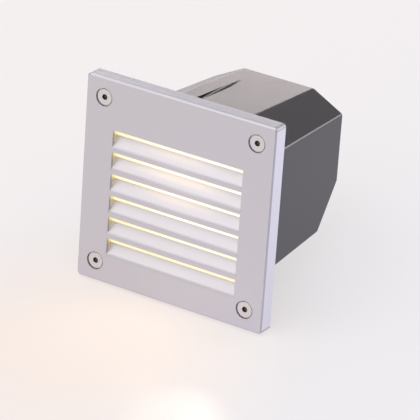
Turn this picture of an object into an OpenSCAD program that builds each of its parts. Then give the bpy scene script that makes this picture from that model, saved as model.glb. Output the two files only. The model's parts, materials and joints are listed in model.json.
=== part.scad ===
// Recessed step light: louvred die-cast cover, lit glass and a back box that sits in the wall.
// +X is right seen from the front, +Y goes into the wall and +Z is up. The origin is the centre
// of the plane where the rear rim of the cover meets the wall.

/* [Cover plate] */
// Width and height of the square cover plate
plate_w = 120; // [116:1:130]
// Depth of the cover plate from its face to the wall
plate_t = 9.5; // [9:0.5:10.5]
// Radius of the four corners of the plate
plate_corner_r = 2; // [1:0.5:5]
// Bevel round the front edge of the plate
plate_bevel = 0.8; // [0.4:0.1:1.4]
// Thickness of the front wall that carries the louvre
face_t = 4.3; // [3.8:0.1:4.8]
// Thickness of the rim that hides the flange of the box
rim_t = 3; // [2:0.5:3]

/* [Louvre] */
// Number of slots
slot_count = 6; // [4:1:6]
// Distance from the sides of the plate to the slots
louvre_side = 18.5; // [18:0.5:30]
// Distance from the top of the plate to the louvre, at the face
louvre_end = 28.8; // [28.4:0.1:36]
// Distance from the bottom of the plate to the louvre, at the face
louvre_foot = 17.1; // [16.5:0.1:24]
// Height of the nose that is left between two slots
nose_h = 2.7; // [2.2:0.1:3]
// Slope of the blades, measured from level
blade_angle = 56; // [48:0.5:57]

/* [Cover screws] */
// Distance from the edges of the plate to the screws
screw_inset = 11.5; // [11:0.1:12]
// Diameter of the thread
screw_d = 5; // [4:0.5:5]
// Diameter of the countersunk head
screw_head_d = 9.15; // [8.6:0.05:9.6]
// Length of the screw over all
screw_l = 16; // [14:0.5:16]
// Depth of the head below the face
screw_sink = 0.5; // [0.3:0.1:0.8]
// Diameter of the round recess that the head lies in
screw_recess_d = 10.5; // [9.8:0.1:11]
// Depth of that recess, which leaves a deep gap all round the head
screw_recess_t = 1.6; // [1.2:0.1:1.7]
// Width across the flats of the hexagon socket
socket_af = 3; // [2.5:0.5:3.5]
// Depth of the hexagon socket
socket_depth = 1.8; // [1.2:0.2:2]

/* [Glass] */
// Distance from the sides of the mouth of the box to the glass
glass_side = 3; // [2.6:0.1:4.5]
// Distance from the top of the mouth of the box to the glass
glass_end = 7.5; // [7:0.1:8.5]
// Thickness of the diffuser glass
glass_t = 4; // [3:0.5:5]
// Corner radius of the glass
glass_corner_r = 2; // [1:0.5:4]
// Thickness of each lip of the glass seal
seal_lip_t = 1.1; // [0.8:0.1:1.4]
// Overlap of the lips on the glass
seal_lip_w = 2; // [1:0.5:2.5]
// Thickness of the seal outside the edge of the glass
seal_wall_t = 1.5; // [1:0.1:1.5]

/* [Back box] */
// Overlap of the plate past the sides of the box
side_cover = 11.6; // [11:0.1:12.4]
// Overlap of the plate past the top and the bottom of the box
top_cover = 12; // [11.2:0.1:12.8]
// Depth of the box behind the wall plane
box_depth = 94.9; // [84:0.1:110]
// Draft of all its sides
box_draft = 3.6; // [2.5:0.1:4]
// Width of the flat top where it leaves the plate
top_flat_w = 48.2; // [42:0.2:56]
// Slope of the four long corner faces, measured from level
corner_angle = 27.4; // [22:0.2:30]
// Drop from the centre to where the slanted lower rear face starts
slant_drop = 8.7; // [6:0.1:14]
// Slope of that slanted face, measured from level
slant_angle = 50; // [46:0.5:52]
// Radius of the outer edges of the box
box_edge_r = 2.5; // [1:0.5:3]
// Thickness of the walls of the box
box_wall = 2.5; // [2:0.1:3]
// Thickness of the flange behind the cover
flange_t = 3; // [2.5:0.1:3.2]
// Distance from the edges of the plate to the mouth that holds the glass
mouth_inset = 12.5; // [12.3:0.1:12.7]
// Width of the groove in the top
groove_w = 3.7; // [2:0.1:5]
// Distance of the groove from the middle, to the left
groove_x = 12.1; // [6:0.1:16]
// Depth at which the groove runs out of the top
groove_end = 78.2; // [50:0.2:82]

/* [Wall fixing] */
// Distance from the sides of the plate to the wall screw holes
wall_hole_inset = 6.7; // [6.5:0.1:6.9]
// Distance between the wall screw holes, up
wall_pitch_z = 60; // [40:1:70]
// Diameter of the wall screw holes
wall_hole_d = 4.2; // [3.4:0.1:4.6]

/* [Corner bosses] */
// Diameter of the bosses for the cover screws
boss_d = 10; // [9.4:0.1:10.4]
// Length of the bosses behind the wall plane
boss_l = 9.5; // [9:0.1:11]
// Outer diameter of the brass inserts
insert_d = 7; // [6.4:0.1:7.4]
// Length of the brass inserts
insert_l = 9; // [7:0.5:10]

/* [Reflector] */
// Distance from the glass seal to the board
reflector_depth = 31; // [26:0.5:34]
// Thickness of the wall and the flange of the reflector
reflector_t = 1.5; // [1.2:0.1:1.8]
// Distance from the sides of the board to the opening of the reflector
foot_side = 10.5; // [9:0.5:13]
// Distance from the top of the board to the opening of the reflector
foot_end = 4; // [3:0.5:6]
// Height of the rib that keeps the glass seal in place
reflector_rib_h = 2.5; // [1.5:0.1:3]

/* [Light source] */
// Distance from the sides of the tray to the board
board_side = 3.5; // [3:0.1:4]
// Distance from the top of the tray to the board
board_end = 8.5; // [7:0.1:9.5]
// Thickness of the board
board_t = 1.6; // [1:0.1:2]
// Columns of light packages
led_columns = 5; // [3:1:5]
// Rows of light packages
led_rows = 3; // [2:1:3]
// Distance from the sides of the opening to the packages and half their gap
led_side = 2; // [1:0.5:6]
// Distance from the top of the opening to the packages and half their gap
led_end = 4; // [1:0.5:6]
// Width of a package
led_w = 3.5; // [2:0.1:5]
// Height of a package
led_h = 2.8; // [2:0.1:5]
// Thickness of a package
led_t = 0.8; // [0.5:0.1:1.2]

/* [Gear tray] */
// Distance from the sides of the box, at the wall, to the tray
tray_side = 7.4; // [7:0.1:8]
// Distance from the top of the box, at the wall, to the tray
tray_end = 16.5; // [15:0.1:17]
// Thickness of the tray
tray_t = 2; // [1.5:0.1:3]
// Distance from the sides of the tray to its screws
post_side = 3.5; // [3:0.1:4]
// Distance from the top of the tray to its screws
post_end = 4; // [3:0.1:4.5]
// Diameter of the posts that carry the tray
post_d = 8; // [6:0.5:8.4]
// Thickness of the rib that ties each post to the wall
post_rib_t = 2; // [1.5:0.1:3]

/* [Driver] */
// Distance from the sides of the tray to the driver
driver_side = 13; // [11:0.5:16]
// Height of the driver
driver_h = 28; // [24:1:30]
// Depth of the driver
driver_t = 20; // [16:0.5:24]
// Rise of the middle of the driver above the centre
driver_z = 15; // [14:0.5:16]
// Wall of the driver case
driver_wall = 1.5; // [1:0.1:2]
// Thickness of the driver lid
driver_lid_t = 2; // [1:0.1:3]
// Length of each fixing ear
ear_l = 7; // [6.5:0.5:8]
// Thickness of the ears
ear_t = 2.2; // [1.5:0.1:3]

/* [Terminals] */
// Distance between two poles
pole_pitch = 10; // [9.5:0.5:11]
// Width of the tower of one pole
pole_w = 7.6; // [7:0.1:8]
// Height of the terminal block
terminal_h = 18; // [16:0.5:20]
// Depth of the terminal block
terminal_t = 16; // [14:0.5:18]
// Depth of the base that joins the poles
terminal_base_t = 4; // [3:0.5:4.5]
// Drop of the middle of the block below the centre
terminal_z = 19; // [18:0.5:20]
// Outer diameter of the brass sleeves
sleeve_d = 4.6; // [4.2:0.1:5]
// Bore of the brass sleeves
sleeve_bore_d = 3.4; // [3:0.1:3.6]
// Diameter of the clamping screws
clamp_d = 2.6; // [2:0.1:3]

/* [Leads] */
// Diameter of the mains leads
mains_lead_d = 2.4; // [1.8:0.1:2.6]
// Diameter of the leads to the board
board_lead_d = 1.6; // [1.2:0.1:2]

/* [Cable gland] */
// Diameter of the thread
gland_d = 16; // [15:0.5:18]
// Width across the flats of the body, the cap and the locknut
gland_af = 20; // [19:0.5:22]
// Thickness of the hexagon flange of the body
gland_hex_t = 4; // [3:0.5:5]
// Length of the neck that carries the cap
gland_neck_l = 9; // [8:0.5:10]
// Diameter of the neck
gland_neck_d = 15; // [14.6:0.1:15.4]
// Height of the cap
gland_cap_h = 13; // [12:0.5:14]
// Thickness of the locknut
locknut_t = 4; // [3:0.5:5]
// Length of the thread inside the box
gland_tail_l = 8; // [7.5:0.5:10]
// Diameter of the cable's way through the seal
cable_d = 9; // [7:0.5:9.4]
// Distance of the gland up the slanted face, from its lower edge
gland_up = 18; // [16:0.5:24]
// Thickness of the sealing washer
gland_washer_t = 1.5; // [1:0.1:2]

/* [Hidden] */
$fn = 64;

// Overrun of every cut past the face that it goes through
over = 1;
// Height of the thin discs that a blended shape is stretched between
film = 0.02;
// Sides of the circles inside blended shapes
blend_sides = 16;
// Gap between a screw or its head and its hole
screw_gap = 0.08;
// Gap between the flange of the box and the rim of the cover
rim_gap = 0.5;
// Gap round pieces that drop into the mouth of the box
seat_gap = 0.3;
// Gap between the end of a lead and the case that it leaves
lead_gap = 0.15;

// Places along the depth, from the face to the rear
face_y = -plate_t;
recess_y = face_t - plate_t;
flange_y = -flange_t;
glass_front_y = recess_y + seal_lip_t;
glass_back_y = glass_front_y + glass_t;
seal_back_y = glass_back_y + seal_lip_t;
shoulder_y = seal_back_y + reflector_t;
collar_y = shoulder_y + box_wall;
board_y = seal_back_y + reflector_depth;
tray_y = board_y + board_t;
gear_y = tray_y + tray_t;
inner_back_y = box_depth - box_wall;

// Louvre
slot_w = plate_w - 2 * louvre_side;
louvre_h = plate_w - louvre_end - louvre_foot;
slot_pitch = (louvre_h + nose_h) / slot_count;
slot_h = slot_pitch - nose_h;
blade_slope = tan(blade_angle);
louvre_top = plate_w / 2 - louvre_end;

// Cover and flange
cavity_w = plate_w - 2 * rim_t;
flange_w = cavity_w - 2 * rim_gap;
screw_half = plate_w / 2 - screw_inset;
wall_pitch_x = plate_w - 2 * wall_hole_inset;
mouth_w = plate_w - 2 * mouth_inset;
screw_y = face_y + screw_sink;
head_h = (screw_head_d - screw_d) / 2;
corner_places = [for (x = [-1, 1]) for (z = [-1, 1]) [x * screw_half, z * screw_half]];
gasket_edge = 0.5;
eyelet_d = boss_d + 2 * gasket_edge;
boss_end_t = 0.8;
screw_room = 0.5;
// Width over the cut corners of the mouth, measured on the diagonal
mouth_diagonal = 2 * (screw_half * sqrt(2) - boss_d / 2 - gasket_edge);

// Glass and the seal round it
glass_w = mouth_w - 2 * glass_side;
glass_h = mouth_w - 2 * glass_end;
seal_w = glass_w + 2 * seal_wall_t;
seal_h = glass_h + 2 * seal_wall_t;
window_w = glass_w - 2 * seal_lip_w;
window_h = glass_h - 2 * seal_lip_w;

// Drafted back box, as planes that an inset moves inwards
box_w = plate_w - 2 * side_cover;
box_h = plate_w - 2 * top_cover;
draft_slope = tan(box_draft);
corner_sin = sin(corner_angle);
corner_cos = cos(corner_angle);
slant_sin = sin(slant_angle);
slant_cos = cos(slant_angle);
corner_reach = corner_sin * top_flat_w / 2 + corner_cos * box_h / 2;
slant_reach = slant_sin * box_depth + slant_cos * slant_drop;
inner_edge_r = box_edge_r / 5;

// Places of the groove
groove_z = box_h / 2 - draft_slope * groove_end + groove_w / 2;

// Tray with its screws, the board in front of it and the foot of the reflector
tray_w = box_w - 2 * tray_side;
tray_h = box_h - 2 * tray_end;
post_pitch_x = tray_w - 2 * post_side;
post_pitch_z = tray_h - 2 * post_end;
board_w = tray_w - 2 * board_side;
board_h = tray_h - 2 * board_end;
reflector_base_w = board_w - 2 * foot_side;
reflector_base_h = board_h - 2 * foot_end;
led_pitch_x = (reflector_base_w - 2 * led_side) / led_columns;
led_pitch_z = (reflector_base_h - 2 * led_end) / led_rows;
driver_w = tray_w - 2 * driver_side;

// Distance of the driver's fixing screws from the middle
ear_x = driver_w / 2 + ear_l / 2;
driver_end_z = driver_z - driver_h / 2;

// Terminal block
pole_count = 3;
terminal_w = (pole_count - 1) * pole_pitch + pole_w;
terminal_top_z = terminal_h / 2 - terminal_z;
sleeve_y = gear_y + terminal_base_t + sleeve_d / 2;
sleeve_inset = 1.5;
sleeve_l = terminal_h - 2 * sleeve_inset;
clamp_l = 6;
clamp_pitch = terminal_h / 2;
fixing_d = 2.4;

// Earth screw beside the terminal block, at its share of the room up to the post
earth_share = 0.5;
earth_drop = 1;
earth_free = (post_pitch_x - post_d - terminal_w) / 2;
earth_x = terminal_w / 2 + earth_share * earth_free;
earth_z = -terminal_z - earth_drop;
tag_t = 0.8;
tag_d = 7;

// Small pan head screws
pan_d = 3;
pan_head_d = 5.5;
pan_head_h = 2;
pan_l = 8;
board_screw_inset = 4;
board_screw_x = board_w / 2 - board_screw_inset;
board_screw_z = board_h / 2 - board_screw_inset;

// Notch in the edge of the tray for the board leads
notch_depth = 3.5;
notch_h = 10;

// Cable gland, measured along its own axis from the slanted face outwards
gland_y = slant_foot_y(0) + gland_up * slant_cos;
gland_z = gland_up * slant_sin - tall(slant_foot_y(0), 0);
gland_foot = gland_washer_t;
gland_neck_foot = gland_foot + gland_hex_t;
gland_neck_top = gland_neck_foot + gland_neck_l;
cap_gap = 0.5;
cap_foot = gland_neck_foot + cap_gap;
cap_top = cap_foot + gland_cap_h;
cap_wall = (gland_af - gland_neck_d) / 2;
cap_room = 1;
cap_mouth_d = cable_d + 2 * cap_room;
bore_room = 0.8;
gland_bore_d = cable_d + 2 * bore_room;
gland_seal_l = 7;
gland_seal_d = 12.4;
seal_foot = gland_neck_top - gland_seal_l;
thread_gap = 0.1;

// Square with round corners, drawn on the plane of the plate
module round_square(w, h, r) {
    hull_w = w / 2 - r;
    hull_h = h / 2 - r;
    union() {
        square([w, h - 2 * r], center = true);
        square([w - 2 * r, h], center = true);
        for (x = [-hull_w, hull_w])
            for (z = [-hull_h, hull_h])
                translate([x, z])
                    circle(r);
    }
}

// Plate from depth y0 to depth y1, with its outline drawn in X and Z
module plate(y0, y1) {
    translate([0, y1, 0])
        rotate([90, 0, 0])
            linear_extrude(y1 - y0)
                children();
}

// Round bar along Y from depth y0 to depth y1
module bar(x, z, y0, y1, d) {
    translate([x, y1, z])
        rotate([90, 0, 0])
            cylinder(d = d, h = y1 - y0);
}

// Block given by its ranges in X, Y and Z
module block(xs, ys, zs) {
    translate([xs[0], ys[0], zs[0]])
        cube([xs[1] - xs[0], ys[1] - ys[0], zs[1] - zs[0]]);
}

// Pan head screw with its head on the plane z = 0, shank downwards
module pan_screw(d, head_d, head_h, l) {
    rotate_extrude()
        polygon([
            [0, -l], [d / 2, -l], [d / 2, 0], [head_d / 2, 0],
            [head_d / 2, head_h * 0.6], [head_d * 0.36, head_h], [0, head_h]
        ]);
}

// Outline of the mouth, a square whose corners are cut to clear the bosses
module mouth_outline(inset) {
    intersection() {
        square(mouth_w - 2 * inset, center = true);
        rotate(45)
            square(mouth_diagonal - 2 * inset, center = true);
    }
}

// Slot between two blades, as a slanted cut through the front wall
module louvre_slot(top) {
    front = face_y - over;
    back = recess_y + over;
    front_shift = -over * blade_slope;
    back_shift = (face_t + over) * blade_slope;
    translate([-slot_w / 2, 0, top])
        rotate([90, 0, 90])
            linear_extrude(slot_w)
                polygon([
                    [front, front_shift - slot_h], [front, front_shift],
                    [back, back_shift], [back, back_shift - slot_h]
                ]);
}

// Recess, countersink and hole for one cover screw
module screw_seat() {
    head_r = screw_head_d / 2 + screw_gap;
    hole_r = screw_d / 2 + 3 * screw_gap;
    head_z = plate_t - screw_sink - screw_gap;
    seat_z = plate_t - screw_recess_t;
    rotate([90, 0, 0])
        rotate_extrude()
            polygon([
                [0, plate_t + over], [screw_recess_d / 2, plate_t + over],
                [screw_recess_d / 2, seat_z], [head_r - head_z + seat_z, seat_z],
                [hole_r, head_z - head_r + hole_r], [hole_r, 0], [0, 0]
            ]);
}

module front_cover() {
    color("#c6c3c8")
        difference() {
            union() {
                plate(face_y + plate_bevel, 0)
                    round_square(plate_w, plate_w, plate_corner_r);
                hull() {
                    plate(face_y + plate_bevel, face_y + plate_bevel + film)
                        round_square(plate_w, plate_w, plate_corner_r, $fn = blend_sides);
                    plate(face_y, face_y + film)
                        offset(delta = -plate_bevel)
                            round_square(plate_w, plate_w, plate_corner_r, $fn = blend_sides);
                }
            }
            plate(recess_y, over)
                round_square(cavity_w, cavity_w, plate_corner_r / 2);
            for (i = [0 : slot_count - 1])
                louvre_slot(louvre_top - i * slot_pitch);
            for (p = corner_places)
                translate([p[0], 0, p[1]])
                    screw_seat();
        }
}

// Countersunk screw with a hexagon socket
module cover_screw(place) {
    color("#d9d4d2")
        translate([place[0], screw_y, place[1]])
            rotate([90, 0, 0])
                difference() {
                    rotate_extrude()
                        polygon([
                            [0, 0], [screw_head_d / 2, 0], [screw_d / 2, -head_h],
                            [screw_d / 2, -screw_l], [0, -screw_l]
                        ]);
                    translate([0, 0, -socket_depth])
                        cylinder(d = socket_af / cos(30), h = socket_depth + over, $fn = 6);
                }
}

module cover_gasket() {
    color("#4a4a4c")
        plate(recess_y, flange_y)
            difference() {
                union() {
                    square(mouth_w + 2 * box_wall, center = true);
                    for (p = corner_places)
                        translate(p)
                            circle(d = eyelet_d);
                }
                mouth_outline(0);
                for (p = corner_places)
                    translate(p)
                        circle(d = screw_d + 6 * screw_gap);
            }
}

module diffuser_glass() {
    color("#fff6e0")
        plate(glass_front_y, glass_back_y)
            round_square(glass_w, glass_h, glass_corner_r);
}

module glass_seal() {
    color("#e8e6e2")
        difference() {
            plate(recess_y, seal_back_y)
                round_square(seal_w, seal_h, glass_corner_r + seal_wall_t);
            plate(glass_front_y, glass_back_y)
                round_square(glass_w, glass_h, glass_corner_r);
            plate(recess_y - over, seal_back_y + over)
                round_square(window_w, window_h, glass_corner_r);
        }
}

// Tapered body of the reflector, widened all round by grow. Its front corners are cut off where
// the corner faces of the box would meet them.
module reflector_funnel(grow, front_y, back_y) {
    front_w = window_w + 2 * grow;
    front_h = window_h + 2 * grow;
    corner = reach(shoulder_y, box_wall + seat_gap + reflector_t - grow);
    top_w = min(front_w, 2 * (corner - corner_cos * front_h / 2) / corner_sin);
    side_h = min(front_h, 2 * (corner - corner_sin * front_w / 2) / corner_cos);
    hull() {
        plate(front_y, front_y + film) {
            square([front_w, side_h], center = true);
            square([top_w, front_h], center = true);
        }
        plate(back_y - film, back_y)
            square([reflector_base_w + 2 * grow, reflector_base_h + 2 * grow], center = true);
    }
}

module reflector() {
    color("white")
        difference() {
            union() {
                plate(seal_back_y, shoulder_y)
                    mouth_outline(seat_gap);
                reflector_funnel(reflector_t, seal_back_y, board_y);
                plate(seal_back_y - reflector_rib_h, seal_back_y)
                    difference() {
                        intersection() {
                            mouth_outline(seat_gap);
                            square([mouth_w, seal_h + 4 * reflector_t], center = true);
                        }
                        square([seal_w + 2 * seat_gap, seal_h + 2 * seat_gap], center = true);
                    }
            }
            reflector_funnel(0, seal_back_y - film, board_y + film);
        }
}

module led_board() {
    color("#f4f3ee")
        difference() {
            plate(board_y, tray_y)
                square([board_w, board_h], center = true);
            at_board_screws()
                bar(0, 0, board_y - over, tray_y + over, pan_d + 2 * screw_gap);
        }
}

module at_board_screws() {
    for (x = [-board_screw_x, board_screw_x])
        for (z = [-board_screw_z, board_screw_z])
            translate([x, 0, z])
                children();
}

module leds() {
    color("#ffe9a8")
        for (c = [0 : led_columns - 1])
            for (r = [0 : led_rows - 1])
                translate([
                    (c - (led_columns - 1) / 2) * led_pitch_x, board_y - led_t / 2,
                    (r - (led_rows - 1) / 2) * led_pitch_z
                ])
                    cube([led_w, led_t, led_h], center = true);
}

module board_screws() {
    color("#cfcfcf")
        at_board_screws()
            translate([0, board_y, 0])
                rotate([90, 0, 0])
                    pan_screw(pan_d, pan_head_d, pan_head_h, board_t + tray_t);
}

module at_posts() {
    for (x = [-1, 1])
        for (z = [-1, 1])
            translate([x * post_pitch_x / 2, 0, z * post_pitch_z / 2])
                children();
}

module at_ears() {
    for (x = [-ear_x, ear_x])
        translate([x, 0, driver_z])
            children();
}

module at_fixings() {
    for (x = [-pole_pitch / 2, pole_pitch / 2])
        translate([x, 0, -terminal_z])
            children();
}

module gear_tray() {
    color("#b9bcc0")
        difference() {
            plate(tray_y, gear_y)
                square([tray_w, tray_h], center = true);
            block(
                [tray_w / 2 - notch_depth, tray_w / 2 + over], [tray_y - over, gear_y + over],
                [-notch_h / 2, notch_h / 2]
            );
            at_posts()
                bar(0, 0, tray_y - over, gear_y + over, pan_d + 2 * screw_gap);
            at_board_screws()
                bar(0, 0, tray_y - over, gear_y + over, pan_d + 2 * screw_gap);
            at_ears()
                bar(0, 0, tray_y - over, gear_y + over, pan_d + 2 * screw_gap);
            at_fixings()
                bar(0, 0, tray_y - over, gear_y + over, fixing_d + 2 * screw_gap);
            translate([earth_x, 0, earth_z])
                bar(0, 0, tray_y - over, gear_y + over, pan_d + 2 * screw_gap);
        }
}

module tray_screws() {
    color("#cfcfcf")
        at_posts()
            translate([0, tray_y, 0])
                rotate([90, 0, 0])
                    pan_screw(pan_d, pan_head_d, pan_head_h, tray_t + pan_l);
}

module driver_case() {
    lid_y = gear_y + driver_t - driver_lid_t;
    color("#f0efeb")
        difference() {
            union() {
                block(
                    [-driver_w / 2, driver_w / 2], [gear_y, lid_y],
                    [driver_z - driver_h / 2, driver_z + driver_h / 2]
                );
                block(
                    [-driver_w / 2 - ear_l, driver_w / 2 + ear_l], [gear_y, gear_y + ear_t],
                    [driver_z - ear_l / 2, driver_z + ear_l / 2]
                );
            }
            block(
                [-driver_w / 2 + driver_wall, driver_w / 2 - driver_wall],
                [gear_y + driver_wall, lid_y + over],
                [driver_z - driver_h / 2 + driver_wall, driver_z + driver_h / 2 - driver_wall]
            );
            at_ears()
                bar(0, 0, gear_y - over, gear_y + ear_t + over, pan_d + 2 * screw_gap);
        }
}

module driver_lid() {
    color("#e4e2dc")
        block(
            [-driver_w / 2, driver_w / 2], [gear_y + driver_t - driver_lid_t, gear_y + driver_t],
            [driver_z - driver_h / 2, driver_z + driver_h / 2]
        );
}

module driver_screws() {
    color("#cfcfcf")
        at_ears()
            translate([0, gear_y + ear_t, 0])
                rotate([-90, 0, 0])
                    pan_screw(pan_d, pan_head_d, pan_head_h, ear_t + tray_t);
}

module at_poles() {
    for (i = [0 : pole_count - 1])
        translate([(i - (pole_count - 1) / 2) * pole_pitch, 0, -terminal_z])
            children();
}

module terminal_block() {
    tower_back = gear_y + terminal_t;
    color("#f2f0ea")
        difference() {
            union() {
                block(
                    [-terminal_w / 2, terminal_w / 2], [gear_y, gear_y + terminal_base_t],
                    [-terminal_z - terminal_h / 2, -terminal_z + terminal_h / 2]
                );
                at_poles()
                    block(
                        [-pole_w / 2, pole_w / 2], [gear_y, tower_back],
                        [-terminal_h / 2, terminal_h / 2]
                    );
            }
            at_poles() {
                translate([0, sleeve_y, -terminal_h / 2 - over])
                    cylinder(d = sleeve_bore_d, h = terminal_h + 2 * over);
                translate([0, sleeve_y, -sleeve_l / 2])
                    cylinder(d = sleeve_d, h = sleeve_l);
                for (z = [-clamp_pitch / 2, clamp_pitch / 2])
                    bar(0, z, sleeve_y, tower_back + over, clamp_d);
            }
            at_fixings()
                bar(0, 0, gear_y - over, gear_y + terminal_base_t + over, fixing_d + 2 * screw_gap);
        }
}

module terminal_sleeves() {
    color("#c9a24a")
        at_poles()
            translate([0, sleeve_y, 0])
                difference() {
                    cylinder(d = sleeve_d, h = sleeve_l, center = true);
                    cylinder(d = sleeve_bore_d, h = sleeve_l + 2 * over, center = true);
                    for (z = [-clamp_pitch / 2, clamp_pitch / 2])
                        bar(0, z, 0, sleeve_d, clamp_d);
                }
}

module terminal_screws() {
    clamp_y = sleeve_y + sleeve_bore_d / 2;
    color("#cfcfcf")
        at_poles()
            for (z = [-clamp_pitch / 2, clamp_pitch / 2])
                bar(0, z, clamp_y, clamp_y + clamp_l, clamp_d);
}

module terminal_fixings() {
    color("#cfcfcf")
        at_fixings()
            bar(0, 0, tray_y, gear_y + terminal_base_t, fixing_d);
}

module earth_tag() {
    color("#d8c070")
        difference() {
            union() {
                bar(earth_x, earth_z, gear_y, gear_y + tag_t, tag_d);
                block(
                    [earth_x - mains_lead_d / 2, earth_x + mains_lead_d / 2],
                    [gear_y, gear_y + tag_t], [earth_z, earth_z + tag_d]
                );
            }
            bar(earth_x, earth_z, gear_y - over, gear_y + tag_t + over, pan_d + 2 * screw_gap);
        }
}

module earth_screw() {
    color("#cfcfcf")
        translate([earth_x, gear_y + tag_t, earth_z])
            rotate([-90, 0, 0])
                pan_screw(pan_d, pan_head_d, pan_head_h, tag_t + tray_t);
}

// Point at share t of the curved stretch from b to c, with neighbours a and d
function bend(a, b, c, d, t) =
    (2 * b + (c - a) * t + (2 * a - 5 * b + 4 * c - d) * t * t
        + (3 * b - a - 3 * c + d) * t * t * t) / 2;

// Smooth route through the points p, with steps points for each stretch
function smooth(p, steps) = [
    for (i = [0 : len(p) - 2])
        for (s = [0 : steps - 1])
            bend(p[max(i - 1, 0)], p[i], p[i + 1], p[min(i + 2, len(p) - 1)], s / steps),
    p[len(p) - 1]
];

function unit(v) = v / norm(v);

// Round lead along a route, where side is a direction that the route never takes
module lead(route, d, side) {
    sides = 8;
    path = smooth(route, 4);
    last = len(path) - 1;
    rings = [
        for (i = [0 : last])
            let (t = unit(path[min(i + 1, last)] - path[max(i - 1, 0)]))
            let (u = unit(cross(t, side)))
            let (v = cross(t, u))
            for (k = [0 : sides - 1])
                path[i] + d / 2 * (cos(360 * k / sides) * u + sin(360 * k / sides) * v)
    ];
    walls = [
        for (i = [0 : last - 1])
            for (k = [0 : sides - 1])
                let (a = i * sides + k)
                let (b = i * sides + (k + 1) % sides)
                for (f = [[a, b, b + sides], [a, b + sides, a + sides]])
                    f
    ];
    foot = [for (k = [0 : sides - 1]) sides - 1 - k];
    end = [for (k = [0 : sides - 1]) last * sides + k];
    polyhedron(points = rings, faces = concat(walls, [foot, end]));
}

// Lead from the driver to the front of the board, through the notch in the tray
module board_lead(shift) {
    lead_r = board_lead_d / 2;
    top_z = driver_z - driver_h / 4 + shift;
    edge_x = tray_w / 2 - notch_depth / 2;
    mid_y = gear_y + driver_t / 2;
    front = board_y - lead_r;
    lead([
        [driver_w / 2 + lead_gap, mid_y, top_z], [driver_w / 2 + 2 * board_lead_d, mid_y, top_z],
        [edge_x, mid_y - 3 * board_lead_d, top_z / 2 + shift / 2], [edge_x, gear_y, shift],
        [edge_x, tray_y, shift], [edge_x - lead_r, front - lead_r, shift],
        [board_w / 2 - 2 * board_lead_d, front, shift]
    ], board_lead_d, [0, 0, 1]);
}

module board_lead_plus() {
    color("#b8302a")
        board_lead(board_lead_d);
}

module board_lead_minus() {
    color("#26262a")
        board_lead(-board_lead_d);
}

// Lead from the underside of the driver straight down into a sleeve
module mains_lead(x) {
    foot_z = terminal_top_z - 2 * sleeve_inset;
    translate([x, sleeve_y, foot_z])
        cylinder(d = mains_lead_d, h = driver_end_z - foot_z);
}

module live_lead() {
    color("#7a4a2a")
        mains_lead(-pole_pitch);
}

module neutral_lead() {
    color("#3a62a8")
        mains_lead(pole_pitch);
}

module earth_lead() {
    foot_z = terminal_top_z - 2 * sleeve_inset;
    high_z = terminal_top_z + 1.5 * mains_lead_d;
    round_y = sleeve_y + 2 * mains_lead_d;
    tag_y = gear_y + tag_t + mains_lead_d / 2;
    color("#7fae3c")
        lead([
            [0, sleeve_y, foot_z], [0, sleeve_y, terminal_top_z],
            [pole_pitch / 4, round_y - mains_lead_d, high_z], [pole_pitch, round_y, high_z],
            [earth_x - 2 * mains_lead_d, round_y - mains_lead_d, high_z - mains_lead_d / 2],
            [earth_x, tag_y + mains_lead_d / 2, earth_z + 1.5 * tag_d],
            [earth_x, tag_y, earth_z + tag_d / 2 + mains_lead_d / 2]
        ], mains_lead_d, unit([0.5, -0.6, 0.2]));
}

// Half outline of the box at depth y, inset by d: the top corner and the side corner
function wide(y, d) = box_w / 2 - draft_slope * y - d;
function tall(y, d) = box_h / 2 - draft_slope * y - d;
function reach(y, d) = corner_reach - draft_slope * y - d;
function top_x(y, d) = (reach(y, d) - corner_cos * tall(y, d)) / corner_sin;
function side_z(y, d) = (reach(y, d) - corner_sin * wide(y, d)) / corner_cos;

// Depths where the slanted face meets the lower side edge and the bottom edge
function slant_side_y(d) =
    (slant_reach - d - slant_cos * side_z(0, d))
        / (slant_sin - slant_cos * draft_slope * (1 - corner_sin) / corner_cos);
function slant_foot_y(d) =
    (slant_reach - d - slant_cos * tall(0, d)) / (slant_sin - slant_cos * draft_slope);
function slant_start_z(d) = (slant_sin * (box_depth - d) - slant_reach + d) / slant_cos;

// Corners at the rear of the box, for its right half
function rear_corners(d) = [
    [top_x(box_depth, d), box_depth - d, tall(box_depth, d)],
    [wide(box_depth, d), box_depth - d, side_z(box_depth, d)],
    [wide(box_depth, d), box_depth - d, slant_start_z(d)],
    [wide(slant_side_y(d), d), slant_side_y(d), -side_z(slant_side_y(d), d)],
    [top_x(slant_foot_y(d), d), slant_foot_y(d), -tall(slant_foot_y(d), d)]
];

// Corners at depth y, for the right half
function front_corners(y, d) = [
    for (s = [-1, 1])
        for (p = [[top_x(y, d), y, s * tall(y, d)], [wide(y, d), y, s * side_z(y, d)]])
            p
];

// Convex body of the box, inset by d, with edges of radius r
module box_body(front_y, d, r) {
    hull()
        for (s = [-1, 1]) {
            for (p = front_corners(front_y, d + r))
                translate([s * p[0], p[1] + film, p[2]])
                    rotate([90, 0, 0])
                        cylinder(r = r, h = film, $fn = blend_sides);
            for (p = rear_corners(d + r))
                translate([s * p[0], p[1], p[2]])
                    sphere(r, $fn = blend_sides);
        }
}

// Local frame of the gland: its axis z leaves the slanted face at a right angle
module at_gland() {
    translate([0, gland_y, gland_z])
        rotate([slant_angle - 180, 0, 0])
            children();
}

module box_posts() {
    at_posts()
        bar(0, 0, gear_y, box_depth, post_d);
    for (x = [-1, 1])
        for (z = [-1, 1])
            translate([x * (post_pitch_x / 2 + box_w / 8), 0, z * post_pitch_z / 2])
                block(
                    [-box_w / 8, box_w / 8], [gear_y + post_d / 2, box_depth],
                    [-post_rib_t / 2, post_rib_t / 2]
                );
    bar(-groove_x, groove_z, shoulder_y, groove_end, groove_w + 2 * box_wall);
}

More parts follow.
